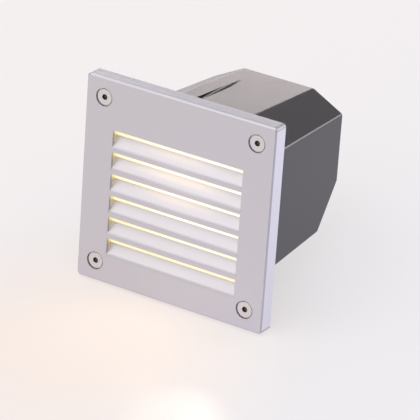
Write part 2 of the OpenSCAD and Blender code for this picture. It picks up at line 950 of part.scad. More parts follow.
module back_box() {
    color("#2a292b")
        difference() {
            union() {
                difference() {
                    union() {
                        plate(flange_y, 0)
                            round_square(flange_w, flange_w, plate_corner_r / 2);
                        plate(0, collar_y)
                            round_square(mouth_w + 2 * box_wall, mouth_w + 2 * box_wall, boss_d / 2);
                        box_body(0, 0, box_edge_r);
                        for (p = corner_places)
                            bar(p[0], p[1], 0, boss_l, boss_d);
                    }
                    plate(flange_y - over, shoulder_y)
                        mouth_outline(0);
                    box_body(shoulder_y - film, box_wall, inner_edge_r);
                }
                intersection() {
                    box_body(0, box_wall / 2, inner_edge_r);
                    box_posts();
                }
            }
            hull()
                for (lift = [0, box_h / 2])
                    bar(-groove_x, groove_z + lift, collar_y, groove_end + over, groove_w);
            for (p = corner_places) {
                bar(p[0], p[1], flange_y - over, flange_y + insert_l, insert_d);
                bar(p[0], p[1], 0, boss_l - boss_end_t, screw_d + 2 * screw_room);
            }
            for (x = [-1, 1])
                for (z = [-1, 1])
                    bar(x * wall_pitch_x / 2, z * wall_pitch_z / 2, flange_y - over, over, wall_hole_d);
            at_posts()
                bar(0, 0, gear_y - over, gear_y + pan_l, pan_d);
            at_gland()
                cylinder(d = gland_d + 2 * thread_gap, h = 4 * box_wall, center = true);
        }
}

module brass_inserts() {
    color("#c9a24a")
        for (p = corner_places)
            difference() {
                bar(p[0], p[1], flange_y, flange_y + insert_l, insert_d);
                bar(p[0], p[1], flange_y - over, flange_y + insert_l + over, screw_d + 2 * screw_gap);
            }
}

module gland_washer() {
    color("#3c3c3e")
        at_gland()
            difference() {
                cylinder(d = gland_af, h = gland_washer_t);
                translate([0, 0, -over])
                    cylinder(d = gland_d + 2 * thread_gap, h = gland_washer_t + 2 * over);
            }
}

module gland_body() {
    color("#333335")
        at_gland()
            difference() {
                union() {
                    translate([0, 0, -box_wall - gland_tail_l])
                        cylinder(d = gland_d, h = box_wall + gland_tail_l + gland_foot);
                    translate([0, 0, gland_foot])
                        cylinder(d = gland_af / cos(30), h = gland_hex_t, $fn = 6);
                    translate([0, 0, gland_neck_foot])
                        cylinder(d = gland_neck_d, h = gland_neck_l);
                }
                translate([0, 0, -box_wall - gland_tail_l - over])
                    cylinder(d = gland_bore_d, h = box_wall + gland_tail_l + gland_neck_top + over);
                translate([0, 0, seal_foot])
                    cylinder(d = gland_seal_d, h = gland_seal_l + over);
            }
}

module gland_seal() {
    color("#1d1d1f")
        at_gland()
            translate([0, 0, seal_foot])
                difference() {
                    cylinder(d = gland_seal_d, h = gland_seal_l);
                    translate([0, 0, -over])
                        cylinder(d = cable_d, h = gland_seal_l + 2 * over);
                }
}

module gland_cap() {
    dome_foot = gland_neck_top + cap_gap;
    color("#333335")
        at_gland()
            difference() {
                intersection() {
                    translate([0, 0, cap_foot])
                        cylinder(d = gland_af / cos(30), h = gland_cap_h, $fn = 6);
                    rotate_extrude()
                        polygon([
                            [0, cap_foot], [gland_af, cap_foot], [gland_af / 2 + cap_wall, dome_foot],
                            [cap_mouth_d / 2 + cap_wall / 2, cap_top], [0, cap_top]
                        ]);
                }
                translate([0, 0, cap_foot - over])
                    cylinder(d = gland_neck_d + 2 * thread_gap, h = dome_foot - cap_foot + over);
                translate([0, 0, cap_foot])
                    cylinder(d = cap_mouth_d, h = gland_cap_h + over);
            }
}

module gland_locknut() {
    color("#333335")
        at_gland()
            translate([0, 0, -box_wall - locknut_t])
                difference() {
                    cylinder(d = gland_af / cos(30), h = locknut_t, $fn = 6);
                    translate([0, 0, -over])
                        cylinder(d = gland_d, h = locknut_t + 2 * over);
                }
}

front_cover();
cover_screw([-screw_half, screw_half]);  // cover_screw_top_left
cover_screw([screw_half, screw_half]);  // cover_screw_top_right
cover_screw([-screw_half, -screw_half]);  // cover_screw_bottom_left
cover_screw([screw_half, -screw_half]);  // cover_screw_bottom_right
cover_gasket();
diffuser_glass();
glass_seal();
reflector();
led_board();
leds();
board_screws();
gear_tray();
tray_screws();
driver_case();
driver_lid();
driver_screws();
terminal_block();
terminal_sleeves();
terminal_screws();
terminal_fixings();
earth_screw();
earth_tag();
board_lead_plus();
board_lead_minus();
live_lead();
neutral_lead();
earth_lead();
back_box();
brass_inserts();
gland_washer();
gland_body();
gland_seal();
gland_cap();
gland_locknut();
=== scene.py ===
"""Looks of a recessed step light: a louvred cast cover, a lit glass and a moulded back box.

Lengths are in metres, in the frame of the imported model: +X right seen from the front, +Y into
the wall, +Z up, with the origin where the rim of the cover meets the wall.
"""

import json
import logging
import math
from dataclasses import dataclass, field
from enum import Enum, IntEnum
from typing import Any, Callable, Protocol, Sequence

import bmesh
import bpy
from mathutils import Matrix, Vector

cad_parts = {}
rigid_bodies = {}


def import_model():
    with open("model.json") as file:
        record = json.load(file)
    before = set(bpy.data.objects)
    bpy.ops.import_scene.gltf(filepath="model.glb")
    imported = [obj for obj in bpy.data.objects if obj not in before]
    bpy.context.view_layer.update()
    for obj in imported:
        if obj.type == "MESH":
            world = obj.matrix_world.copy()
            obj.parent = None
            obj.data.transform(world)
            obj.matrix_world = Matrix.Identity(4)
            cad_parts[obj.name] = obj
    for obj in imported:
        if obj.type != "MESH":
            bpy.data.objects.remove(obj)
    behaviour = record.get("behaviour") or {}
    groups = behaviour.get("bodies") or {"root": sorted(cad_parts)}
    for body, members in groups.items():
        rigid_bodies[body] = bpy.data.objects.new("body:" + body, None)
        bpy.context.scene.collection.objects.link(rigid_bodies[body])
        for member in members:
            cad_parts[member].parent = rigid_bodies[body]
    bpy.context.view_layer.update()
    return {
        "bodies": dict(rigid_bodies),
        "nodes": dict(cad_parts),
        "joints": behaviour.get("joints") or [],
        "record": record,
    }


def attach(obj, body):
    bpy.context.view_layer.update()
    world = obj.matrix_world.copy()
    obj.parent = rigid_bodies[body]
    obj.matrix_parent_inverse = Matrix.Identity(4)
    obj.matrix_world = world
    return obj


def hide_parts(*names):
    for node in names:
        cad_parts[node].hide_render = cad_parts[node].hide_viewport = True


MM = 0.001
WELD = 0.002 * MM
SLIVER = 0.001 * MM
FLAT_DEGREES = 0.4
BEVEL_DEGREES = 28.0
CREASE_DEGREES = 62.0
BOX_DECIMALS = 4

# the sockets of a Mix node that mixes colours
MIX_LOW = 6
MIX_HIGH = 7
MIX_OUT = 2

Colour = tuple[float, float, float]
Point = tuple[float, float, float]
Span = tuple[float, float]
Rows = list[list[Point]]
log = logging.getLogger("step_light")


class Outline(Enum):
    """The outline of a turned ring, with its count of arms or flats."""

    ROUND = 0
    SLOT = 2
    CROSS = 4
    HEXAGON = 6


class Grain(Enum):
    """How strongly each axis stretches a brushed or rolled pattern, as shares of its fineness."""

    EDGE = (0.004, 1.0, 0.004)
    ALONG_X = (0.01, 1.0, 1.0)


class Skin(IntEnum):
    """The skins of the louvred plate, in the order of its finishes."""

    FACE = 0
    SIDE = 1
    BACK = 2
    BEVEL = 3
    WALL = 4


def toned(colour: Colour, gain: float, lift: float = 0.0) -> Colour:
    """Make a colour lighter or darker.

    Args:
        colour: The colour.
        gain: The factor for each part of it.
        lift: What is added to each part.

    Returns:
        The new colour, with no part above 1.
    """
    return tuple(min(1.0, part * gain + lift) for part in colour)


def put(name: str, data: bpy.types.ID, where: Matrix | None = None) -> bpy.types.Object:
    """Put a mesh, a lamp or a camera into the scene.

    Args:
        name: The new object's name.
        data: What it shows.
        where: Its place, or None for the origin.

    Returns:
        The object.
    """
    made = bpy.data.objects.new(name, data)
    bpy.context.scene.collection.objects.link(made)
    if where is not None:
        made.matrix_world = where
    return made


def facing(place: Vector, back: Vector) -> Matrix:
    """Place a lamp that shines away from a direction.

    Args:
        place: Where it hangs.
        back: The direction behind it.

    Returns:
        Its matrix.
    """
    return Matrix.Translation(place) @ back.to_track_quat("Z", "Y").to_matrix().to_4x4()


# shader building


class Signal:
    """A socket's value, with arithmetic that adds Math nodes behind it."""

    def __init__(self, tree: "ShaderTree", socket: bpy.types.NodeSocket) -> None:
        """Wrap a socket.

        Args:
            tree: The tree that the socket belongs to.
            socket: The output socket.
        """
        self.tree = tree
        self.socket = socket

    def math(self, operation: str, *others: "Signal | float", swap: bool = False) -> "Signal":
        """Add a Math node.

        Args:
            operation: Blender's name of the operation.
            *others: The further operands.
            swap: True puts this value second.

        Returns:
            The result.
        """
        operands = [self, *others]
        if swap:
            operands.reverse()
        return self.tree.node("Math", {"operation": operation}, dict(enumerate(operands)))

    def __add__(self, other: "Signal | float") -> "Signal":
        """Add."""
        return self.math("ADD", other)

    __radd__ = __add__

    def __sub__(self, other: "Signal | float") -> "Signal":
        """Subtract."""
        return self.math("SUBTRACT", other)

    def __rsub__(self, other: float) -> "Signal":
        """Subtract this value from a number."""
        return self.math("SUBTRACT", other, swap=True)

    def __mul__(self, other: "Signal | float") -> "Signal":
        """Multiply."""
        return self.math("MULTIPLY", other)

    __rmul__ = __mul__

    def __truediv__(self, other: "Signal | float") -> "Signal":
        """Divide."""
        return self.math("DIVIDE", other)

    def __rtruediv__(self, other: float) -> "Signal":
        """Divide a number by this value."""
        return self.math("DIVIDE", other, swap=True)

    def __abs__(self) -> "Signal":
        """Drop the sign."""
        return self.math("ABSOLUTE")

    def swing(self, span: float) -> "Signal":
        """Turn a value from 0 to 1 into one that swings about zero, as wide as the span."""
        return (self - 0.5) * span

    def between(self, low: float, high: float) -> "Signal":
        """Map a range smoothly onto 0 to 1.

        Args:
            low: The value that becomes 0.
            high: The value that becomes 1.

        Returns:
            The mapped value.
        """
        return self.tree.node(
            "MapRange",
            {"interpolation_type": "SMOOTHSTEP"},
            {"Value": self, "From Min": low, "From Max": high},
        )

    def axis(self, index: int) -> "Signal":
        """Take one component of a vector.

        Args:
            index: 0, 1 or 2 for X, Y or Z.

        Returns:
            The component.
        """
        return self.tree.node("SeparateXYZ", {}, {0: self}, out=index)


class ShaderTree:
    """A new material and the nodes that are added to it."""

    def __init__(self, name: str) -> None:
        """Start an empty material.

        Args:
            name: The material's name.
        """
        self.material = bpy.data.materials.new(name)
        self.material.use_nodes = True
        self.tree = self.material.node_tree
        self.tree.nodes.clear()

    def add(
        self, kind: str, settings: dict[str, Any], inputs: dict[str | int, Any]
    ) -> bpy.types.ShaderNode:
        """Add any node.

        Args:
            kind: The node's type without its ShaderNode prefix.
            settings: Its properties, set first.
            inputs: Values or signals for its sockets, by name or number; None leaves one alone.

        Returns:
            The node.
        """
        node = self.tree.nodes.new("ShaderNode" + kind)
        for key, value in settings.items():
            setattr(node, key, value)
        for key, value in inputs.items():
            if isinstance(value, Signal):
                self.tree.links.new(value.socket, node.inputs[key])
            elif value is not None:
                node.inputs[key].default_value = value
        return node

    def node(
        self,
        kind: str,
        settings: dict[str, Any] | None = None,
        inputs: dict[str | int, Any] | None = None,
        out: str | int = 0,
    ) -> Signal:
        """Add a node and take one of its outputs.

        Args:
            kind: The node's type without its ShaderNode prefix.
            settings: Its properties.
            inputs: Values or signals for its sockets.
            out: The output's name or number.

        Returns:
            The output.
        """
        return Signal(self, self.add(kind, settings or {}, inputs or {}).outputs[out])

    def place(self, stretch: Sequence[float] | None = None) -> Signal:
        """Give the place on the piece, in metres.

        Args:
            stretch: Factors for the three axes, or None.

        Returns:
            The place as a vector.
        """
        where = self.node("TexCoord", out="Object")
        if stretch is None:
            return where
        return self.node("VectorMath", {"operation": "MULTIPLY"}, {0: where, 1: tuple(stretch)})

    def noise(self, size: float, where: Signal | None = None, detail: float = 2.0) -> Signal:
        """Add a noise whose spots have a given size.

        Args:
            size: The size of a spot, in metres.
            where: The place, or None for the plain one.
            detail: Octaves of finer noise.

        Returns:
            The noise, from 0 to 1.
        """
        inputs = {"Vector": where or self.place(), "Scale": 1.0 / size, "Detail": detail}
        return self.node("TexNoise", {}, inputs)

    def spread(self, centre: Span, reach: Span) -> Signal:
        """Measure how far a place lies from a point of the front, seen from the front.

        Args:
            centre: The point, across and up.
            reach: Half the width and half the height of the oval where the result is 1.

        Returns:
            The distance as a share of the oval.
        """
        where = self.place()
        across = (where.axis(0) - centre[0]) / reach[0]
        up = (where.axis(2) - centre[1]) / reach[1]
        return (across * across + up * up).math("SQRT")

    def blend(self, share: Signal | float, low: Any, high: Any) -> Signal:
        """Mix two colours.

        Args:
            share: 0 gives the low colour and 1 the high one.
            low: A colour or signal.
            high: A colour or signal.

        Returns:
            The mixed colour.
        """
        colours = {MIX_LOW: low, MIX_HIGH: high}
        inputs = {
            key: value if isinstance(value, Signal) else (*value, 1.0)
            for key, value in colours.items()
        }
        return self.node("Mix", {"data_type": "RGBA"}, {0: share, **inputs}, out=MIX_OUT)

    def relief(self, height: Signal, depth: float, under: Signal | None = None) -> Signal:
        """Turn a height into a normal.

        Args:
            height: The height, from 0 to 1.
            depth: How far 1 stands above 0, in metres.
            under: The normal that it adds to, or None.

        Returns:
            The normal.
        """
        return self.node("Bump", {}, {"Height": height, "Distance": depth, "Normal": under})

    def surface(self, values: dict[str, Any]) -> Signal:
        """Add a Principled shader.

        Args:
            values: Values or signals for its sockets.

        Returns:
            The shader.
        """
        full = {
            key: (*value, 1.0) if isinstance(value, tuple) else value
            for key, value in values.items()
        }
        return self.node("BsdfPrincipled", {}, full)

    def finish(self, shader: Signal) -> bpy.types.Material:
        """Join a shader to the material's output.

        Args:
            shader: The shader.

        Returns:
            The material.
        """
        self.add("OutputMaterial", {}, {"Surface": shader})
        return self.material


# finishes


class Finish(Protocol):
    """Any finish: it has a name and paints its own material."""

    @property
    def name(self) -> str:
        """Give the material's name."""

    def paint(self) -> bpy.types.Material:
        """Make the material."""


@dataclass(frozen=True)
class BlastedCasting:
    """Die casting with a fine, matt, blasted silver skin, and a painted warm glow of light in the
    depth of its slots.
    """

    name: str
    colour: Colour
    roughness: float = 0.5
    roughness_span: float = 0.2
    spot: float = 0.35 * MM
    spot_share: float = 0.16
    cloud: float = 14 * MM
    cloud_share: float = 0.07
    tone_span: float = 0.1
    depth: float = 0.012 * MM
    # painted light: these fields set a warm glow painted into the colour in the depth of the slots
    painted_glow: float = 0.0
    painted_glow_at: Span = (-1 * MM, 12 * MM)
    painted_glow_reach: Span = (40 * MM, 27 * MM)
    painted_glow_core: float = 0.2
    painted_glow_deep: Span = (-8.6 * MM, -6.0 * MM)
    painted_glow_colour: Colour = (0.97, 0.88, 0.8)

    def paint(self) -> bpy.types.Material:
        """Make the material.

        Returns:
            The material.
        """
        tree = ShaderTree(self.name)
        spots = tree.noise(self.spot, detail=3.0)
        clouds = tree.noise(self.cloud, detail=2.0)
        tone = spots.swing(self.spot_share) + clouds.swing(self.cloud_share) + 0.5
        dark = toned(self.colour, 1.0 - self.tone_span)
        base = tree.blend(tone, dark, toned(self.colour, 1.0 + self.tone_span))
        # painted light: the glass's warm glow is blended into the base colour, not cast by a lamp
        if self.painted_glow:
            base = tree.blend(self.glow(tree), base, self.painted_glow_colour)
        return tree.finish(tree.surface({
            "Base Color": base,
            "Metallic": 1.0,
            "Roughness": spots.swing(self.roughness_span) + self.roughness,
            "Normal": tree.relief(spots, self.depth),
        }))

    def glow(self, tree: ShaderTree) -> Signal:
        """Find where a painted warm glow stands for the light from behind a casting that falls
        into the depth of its slots.

        Args:
            tree: The material's nodes.

        Returns:
            The strength of the painted glow in its middle, and 0 outside it and on the face.
        """
        near = 1.0 - tree.spread(self.painted_glow_at, self.painted_glow_reach).between(self.painted_glow_core, 1.0)
        return near * tree.place().axis(1).between(*self.painted_glow_deep) * self.painted_glow


@dataclass(frozen=True)
class BrushedMetal:
    """Metal with fine lines along one direction, left by a belt, a roll or a mill."""

    name: str
    colour: Colour
    grain: Grain = Grain.EDGE
    roughness: float = 0.32
    roughness_span: float = 0.25
    line: float = 0.16 * MM
    broad_lines: float = 9.0
    depth: float = 0.004 * MM
    contrast: float = 0.3
    tone_span: float = 0.22

    def paint(self) -> bpy.types.Material:
        """Make the material.

        Returns:
            The material.
        """
        tree = ShaderTree(self.name)
        lines = tree.noise(self.line, tree.place(self.grain.value), detail=4.0)
        broad = tree.noise(self.line * self.broad_lines, tree.place(self.grain.value), detail=2.0)
        tone = lines.swing(self.contrast) + broad.swing(self.contrast) + 0.5
        dark = toned(self.colour, 1.0 - self.tone_span)
        return tree.finish(tree.surface({
            "Base Color": tree.blend(tone, dark, toned(self.colour, 1.0 + self.tone_span)),
            "Metallic": 1.0,
            "Roughness": broad.swing(self.roughness_span) + self.roughness,
            "Normal": tree.relief(lines, self.depth),
        }))


@dataclass(frozen=True)
class TurnedMetal:
    """Metal turned on a lathe about the piece's own Y axis, with rings on its face."""

    name: str
    colour: Colour
    roughness: float = 0.26
    roughness_span: float = 0.2
    ring: float = 0.1 * MM
    ring_share: float = 0.5
    stain: float = 2.4 * MM
    stain_share: float = 0.5
    clean_share: float = 0.3
    dark_gain: float = 0.72
    depth: float = 0.003 * MM

    def paint(self) -> bpy.types.Material:
        """Make the material.

        Returns:
            The material.
        """
        tree = ShaderTree(self.name)
        flat = tree.place((1.0, 0.0, 1.0))
        radius = tree.node("VectorMath", {"operation": "LENGTH"}, {0: flat}, out="Value")
        rings = tree.noise(self.ring, tree.node("CombineXYZ", {}, {0: radius}))
        stain = tree.noise(self.stain)
        tone = rings.swing(self.ring_share) + stain * self.stain_share + self.clean_share
        return tree.finish(tree.surface({
            "Base Color": tree.blend(tone, toned(self.colour, self.dark_gain), self.colour),
            "Metallic": 1.0,
            "Roughness": stain.swing(self.roughness_span) + self.roughness,
            "Normal": tree.relief(rings, self.depth),
        }))


@dataclass(frozen=True)
class Moulding:
    """Moulded plastic with a fine spark-eroded skin and the faint waves of a thick wall."""

    name: str
    colour: Colour
    roughness: float = 0.3
    roughness_span: float = 0.06
    spot: float = 0.28 * MM
    depth: float = 0.002 * MM
    wave: float = 40 * MM
    wave_depth: float = 0.05 * MM
    scuff: float = 5 * MM
    scuff_stretch: Point = (1.0, 0.35, 1.0)
    scuff_share: float = 0.6
    dark_gain: float = 0.85
    light_gain: float = 1.16
    light_lift: float = 0.002
    shine: float = 0.5

    def paint(self) -> bpy.types.Material:
        """Make the material.

        Returns:
            The material.
        """
        tree = ShaderTree(self.name)
        spots = tree.noise(self.spot)
        waves = tree.noise(self.wave, detail=1.0)
        scuffs = tree.noise(self.scuff, tree.place(self.scuff_stretch), detail=5.0)
        light = toned(self.colour, self.light_gain, self.light_lift)
        dark = toned(self.colour, self.dark_gain)
        fine = tree.relief(spots, self.depth)
        patches = scuffs.swing(self.roughness_span) + spots.swing(self.roughness_span)
        return tree.finish(tree.surface({
            "Base Color": tree.blend(scuffs.swing(self.scuff_share) + 0.5, dark, light),
            "Roughness": patches + self.roughness,
            "Normal": tree.relief(waves, self.wave_depth, fine),
            "Specular IOR Level": self.shine,
        }))


@dataclass(frozen=True)
class SoftSkin:
    """Rubber, silicone or insulation, with a dull skin and a little bloom."""

    name: str
    colour: Colour
    roughness: float = 0.55
    roughness_span: float = 0.2
    bloom: Colour = (0.3, 0.3, 0.3)
    bloom_share: float = 0.12
    dust: float = 1.5 * MM
    dust_range: Span = (0.45, 0.8)
    skin: float = 0.4 * MM
    skin_depth: float = 0.01 * MM
    band: Colour | None = None
    band_pitch: float = 3.4 * MM
    band_slant: Point = (1.0, 0.6, 1.0)
    band_range: Span = (0.2, 0.26)

    def paint(self) -> bpy.types.Material:
        """Make the material.

        Returns:
            The material.
        """
        tree = ShaderTree(self.name)
        dust = tree.noise(self.dust, detail=4.0)
        skin = tree.noise(self.skin, detail=1.0)
        base: Any = self.colour
        if self.band:
            where = tree.place(self.band_slant)
            run = (where.axis(0) + where.axis(1) + where.axis(2)) / self.band_pitch
            stripe = abs(run.math("FRACT") - 0.5).between(*self.band_range)
            base = tree.blend(stripe, self.colour, self.band)
        powder = dust.between(*self.dust_range) * self.bloom_share
        return tree.finish(tree.surface({
            "Base Color": tree.blend(powder, base, self.bloom),
            "Roughness": dust.swing(self.roughness_span) + self.roughness,
            "Normal": tree.relief(skin, self.skin_depth),
        }))


@dataclass(frozen=True)
class LitGlass:
    """Frosted glass lit from behind, white in the middle and warmer towards its edges."""

    name: str
    core: Colour = (1.0, 0.955, 0.83)
    edge: Colour = (1.0, 0.87, 0.5)
    strength: float = 0.93
    bright_at: Span = (15 * MM, 8 * MM)
    reach: Span = (52 * MM, 44 * MM)
    fade: Span = (0.4, 1.3)
    frost: float = 0.5 * MM
    frost_depth: float = 0.01 * MM
    frost_share: float = 0.04
    dark: Colour = (0.3, 0.29, 0.24)
    light: Colour = (0.38, 0.37, 0.31)
    roughness: float = 0.45
    roughness_span: float = 0.2

    def paint(self) -> bpy.types.Material:
        """Make the material.

        Returns:
            The material.
        """
        tree = ShaderTree(self.name)
        frost = tree.noise(self.frost)
        fall = tree.spread(self.bright_at, self.reach).between(*self.fade)
        glow = tree.blend(fall + frost.swing(self.frost_share), self.core, self.edge)
        return tree.finish(tree.surface({
            "Base Color": tree.blend(frost, self.dark, self.light),
            "Roughness": frost.swing(self.roughness_span) + self.roughness,
            "Emission Color": glow,
            "Emission Strength": self.strength,
            "Normal": tree.relief(frost, self.frost_depth),
        }))


@dataclass(frozen=True)
class BoardMask:
    """White solder mask, with the copper tracks that join the packages showing through it."""

    name: str
    mask: Colour = (0.86, 0.86, 0.83)
    over_copper: Colour = (0.74, 0.72, 0.64)
    copper_share: float = 0.5
    pitch: float = 10 * MM
    track: float = 3.2 * MM
    track_edge: float = 0.2 * MM
    track_height: float = 0.05 * MM
    speck: float = 0.6 * MM
    roughness: float = 0.28
    roughness_span: float = 0.2

    def paint(self) -> bpy.types.Material:
        """Make the material.

        Returns:
            The material.
        """
        tree = ShaderTree(self.name)
        half = self.track / 2
        row = abs((tree.place().axis(2) / self.pitch + 0.5).math("FRACT") - 0.5) * self.pitch
        on_track = 1.0 - row.between(half, half + self.track_edge)
        return tree.finish(tree.surface({
            "Base Color": tree.blend(on_track * self.copper_share, self.mask, self.over_copper),
            "Roughness": tree.noise(self.speck) * self.roughness_span + self.roughness,
            "Normal": tree.relief(on_track, self.track_height),
        }))


@dataclass(frozen=True)
class Phosphor:
    """Silicone with yellow phosphor over a small light source."""

    name: str
    colour: Colour = (0.95, 0.72, 0.22)
    light_gain: float = 1.15
    strength: float = 2.0
    glow_low: Colour = (1.0, 0.78, 0.45)
    glow_high: Colour = (1.0, 0.88, 0.6)
    speckle: float = 0.12 * MM
    roughness: float = 0.3
    roughness_span: float = 0.2

    def paint(self) -> bpy.types.Material:
        """Make the material.

        Returns:
            The material.
        """
        tree = ShaderTree(self.name)
        speckle = tree.noise(self.speckle, detail=3.0)
        return tree.finish(tree.surface({
            "Base Color": tree.blend(speckle, self.colour, toned(self.colour, self.light_gain)),
            "Roughness": speckle * self.roughness_span + self.roughness,
            "Emission Color": tree.blend(speckle, self.glow_low, self.glow_high),
            "Emission Strength": self.strength,
        }))


# mesh building


class Bench:
    """Where pieces are made, softened, dressed and put on their bodies."""

    def __init__(self, frame: dict[str, Any]) -> None:
        """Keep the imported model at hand.
        """
        self.nodes: dict[str, bpy.types.Object] = frame["nodes"]
        record = frame["record"]
        self.slots = {row["node"]: row["material_slot"] for row in record["subparts"]}
        self.bodies = {
            node: body for body, nodes in record["behaviour"]["bodies"].items() for node in nodes
        }
        self.painted: dict[Finish, bpy.types.Material] = {}

    def material(self, finish: Finish) -> bpy.types.Material:
        """Give a finish's material, painted once.

        Args:
            finish: One of the finishes.

        Returns:
            The material.
        """
        if finish not in self.painted:
            self.painted[finish] = finish.paint()
        return self.painted[finish]

    def dress(self, node: str, finish: Finish) -> None:
        """Give a CAD node its finish, and leave its shape alone.

        Args:
            node: The node's name.
            finish: The finish.
        """
        piece = self.nodes[node]
        if not piece.material_slots:
            piece.data.materials.append(None)
        for slot in piece.material_slots:
            slot.material = self.material(finish)
        log.info("dressed %s with %s", node, finish.name)

    def new(
        self, name: str, mesh: bmesh.types.BMesh, finishes: Sequence[Finish]
    ) -> bpy.types.Object:
        """Make an object of a mesh.

        Args:
            name: The piece's name.
            mesh: Its mesh, which is used up.
            finishes: Its finishes, in the order of the material numbers.

        Returns:
            The object.
        """
        data = bpy.data.meshes.new(name)
        mesh.to_mesh(data)
        mesh.free()
        for finish in finishes:
            data.materials.append(self.material(finish))
        return put(name, data)

    def bare_copy(self, node: str, whole: bool = True) -> bmesh.types.BMesh:
        """Copy a node's shape.

        Args:
            node: The node's name.
            whole: True joins the triangles of each flat face, which suits faces without holes.

        Returns:
            The copy.
        """
        source = self.nodes[node].data
        mesh = bmesh.new()
        corners = [mesh.verts.new(vert.co) for vert in source.vertices]
        mesh.verts.ensure_lookup_table()
        for polygon in source.polygons:
            mesh.faces.new([corners[i] for i in polygon.vertices])
        bmesh.ops.remove_doubles(mesh, verts=mesh.verts, dist=WELD)
        bmesh.ops.dissolve_degenerate(mesh, dist=SLIVER, edges=mesh.edges)
        if whole:
            flat = math.radians(FLAT_DEGREES)
            bmesh.ops.dissolve_limit(mesh, angle_limit=flat, verts=mesh.verts, edges=mesh.edges)
        bmesh.ops.recalc_face_normals(mesh, faces=mesh.faces)
        return mesh

    def islands(self, node: str) -> list[tuple[Vector, Vector]]:
        """Give the boxes of a node's separate solids.

        Args:
            node: The node's name.

        Returns:
            The low and high corner of each.
        """
        mesh = self.bare_copy(node, whole=False)
        boxes, left = [], set(mesh.verts)
        while left:
            queue, group = [left.pop()], []
            while queue:
                corner = queue.pop()
                group.append(corner.co.copy())
                near = {edge.other_vert(corner) for edge in corner.link_edges} & left
                left -= near
                queue += near
            spans = [(min(values), max(values)) for values in zip(*group)]
            boxes.append(tuple(Vector(corner) for corner in zip(*spans)))
        mesh.free()
        return sorted(boxes, key=lambda box: tuple(round(v, BOX_DECIMALS) for v in box[0]))

    def round_edges(
        self,
        piece: bpy.types.Object,
        width: float,
        segments: int = 2,
        angle: float = BEVEL_DEGREES,
        crease: float = CREASE_DEGREES,
    ) -> None:
        """Round a piece's sharp edges and settle its shading.

        Args:
            piece: The piece.
            width: How far the rounding reaches, in metres.
            segments: Steps across it.
            angle: Edges sharper than this are rounded, in degrees.
            crease: Edges still sharper than this keep a crisp shading, in degrees.
        """
        for polygon in piece.data.polygons:
            polygon.use_smooth = True
        bevel = piece.modifiers.new("edges", "BEVEL")
        bevel.width = width
        bevel.segments = segments
        bevel.limit_method = "ANGLE"
        bevel.angle_limit = math.radians(angle)
        bevel.use_clamp_overlap = True
        bevel.miter_outer = "MITER_ARC"
        self.apply(piece)
        piece.data.set_sharp_from_angle(angle=math.radians(crease))
        normals = piece.modifiers.new("normals", "WEIGHTED_NORMAL")
        normals.keep_sharp = True
        self.apply(piece)

    def apply(self, piece: bpy.types.Object) -> None:
        """Turn a piece's modifiers into its mesh.

        Args:
            piece: The piece.
        """
        graph = bpy.context.evaluated_depsgraph_get()
        done = bpy.data.meshes.new_from_object(piece.evaluated_get(graph))
        done.name = piece.name
        piece.modifiers.clear()
        piece.data = done

    def stand_for(self, piece: bpy.types.Object, node: str) -> None:
        """Let a piece take the place of a CAD node.

        Args:
            piece: The piece, in its place.
            node: The node that it stands for.
        """
        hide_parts(node)
        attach(piece, self.bodies[node])
        log.info("built %s for %s: %d faces", piece.name, node, len(piece.data.polygons))

    def soften(
        self,
        node: str,
        finishes: Sequence[Finish],
        width: float,
        segments: int = 2,
        choose: Callable[[bmesh.types.BMFace], int] | None = None,
        whole: bool = True,
        shape: Callable[[bmesh.types.BMesh], None] | None = None,
        crease: float = CREASE_DEGREES,
    ) -> None:
        """Build a piece that repeats a node with rounded edges.

        Args:
            node: The node.
            finishes: The piece's finishes.
            width: Width of the rounding, in metres.
            segments: Steps across it.
            choose: Gives a face's finish number, or None for the first.
            whole: True joins the triangles of each flat face.
            shape: Works on the mesh first, or None.
            crease: Edges sharper than this keep a crisp shading, in degrees.
        """
        mesh = self.bare_copy(node, whole)
        if shape:
            shape(mesh)
        if choose:
            for face in mesh.faces:
                face.material_index = choose(face)
        piece = self.new(node + "_made", mesh, finishes)
        self.round_edges(piece, width, segments, crease=crease)
        self.stand_for(piece, node)


@dataclass
class Ring:
    """One ring of points about an axis: its height, its size and the outline it follows."""

    height: float
    radius: float
    outline: Outline = Outline.ROUND
    limit: float = math.inf
    arm_share: float = 0.26
    least: float = 0.02

    def at(self, turn: float) -> float:
        """Give the radius at an angle.

        Args:
            turn: The angle, in radians.

        Returns:
            The radius; flats lie at the ring's radius and arms end there.
        """
        if self.outline is Outline.ROUND:
            return self.radius
        step = 2 * math.pi / self.outline.value
        off = abs((turn + step / 2) % step - step / 2)
        reach = self.radius / max(math.cos(off), self.least)
        if self.outline is not Outline.HEXAGON:
            arm = self.arm_share * self.radius
            reach = min(reach, arm / max(math.sin(off), self.least))
        return min(reach, self.limit)


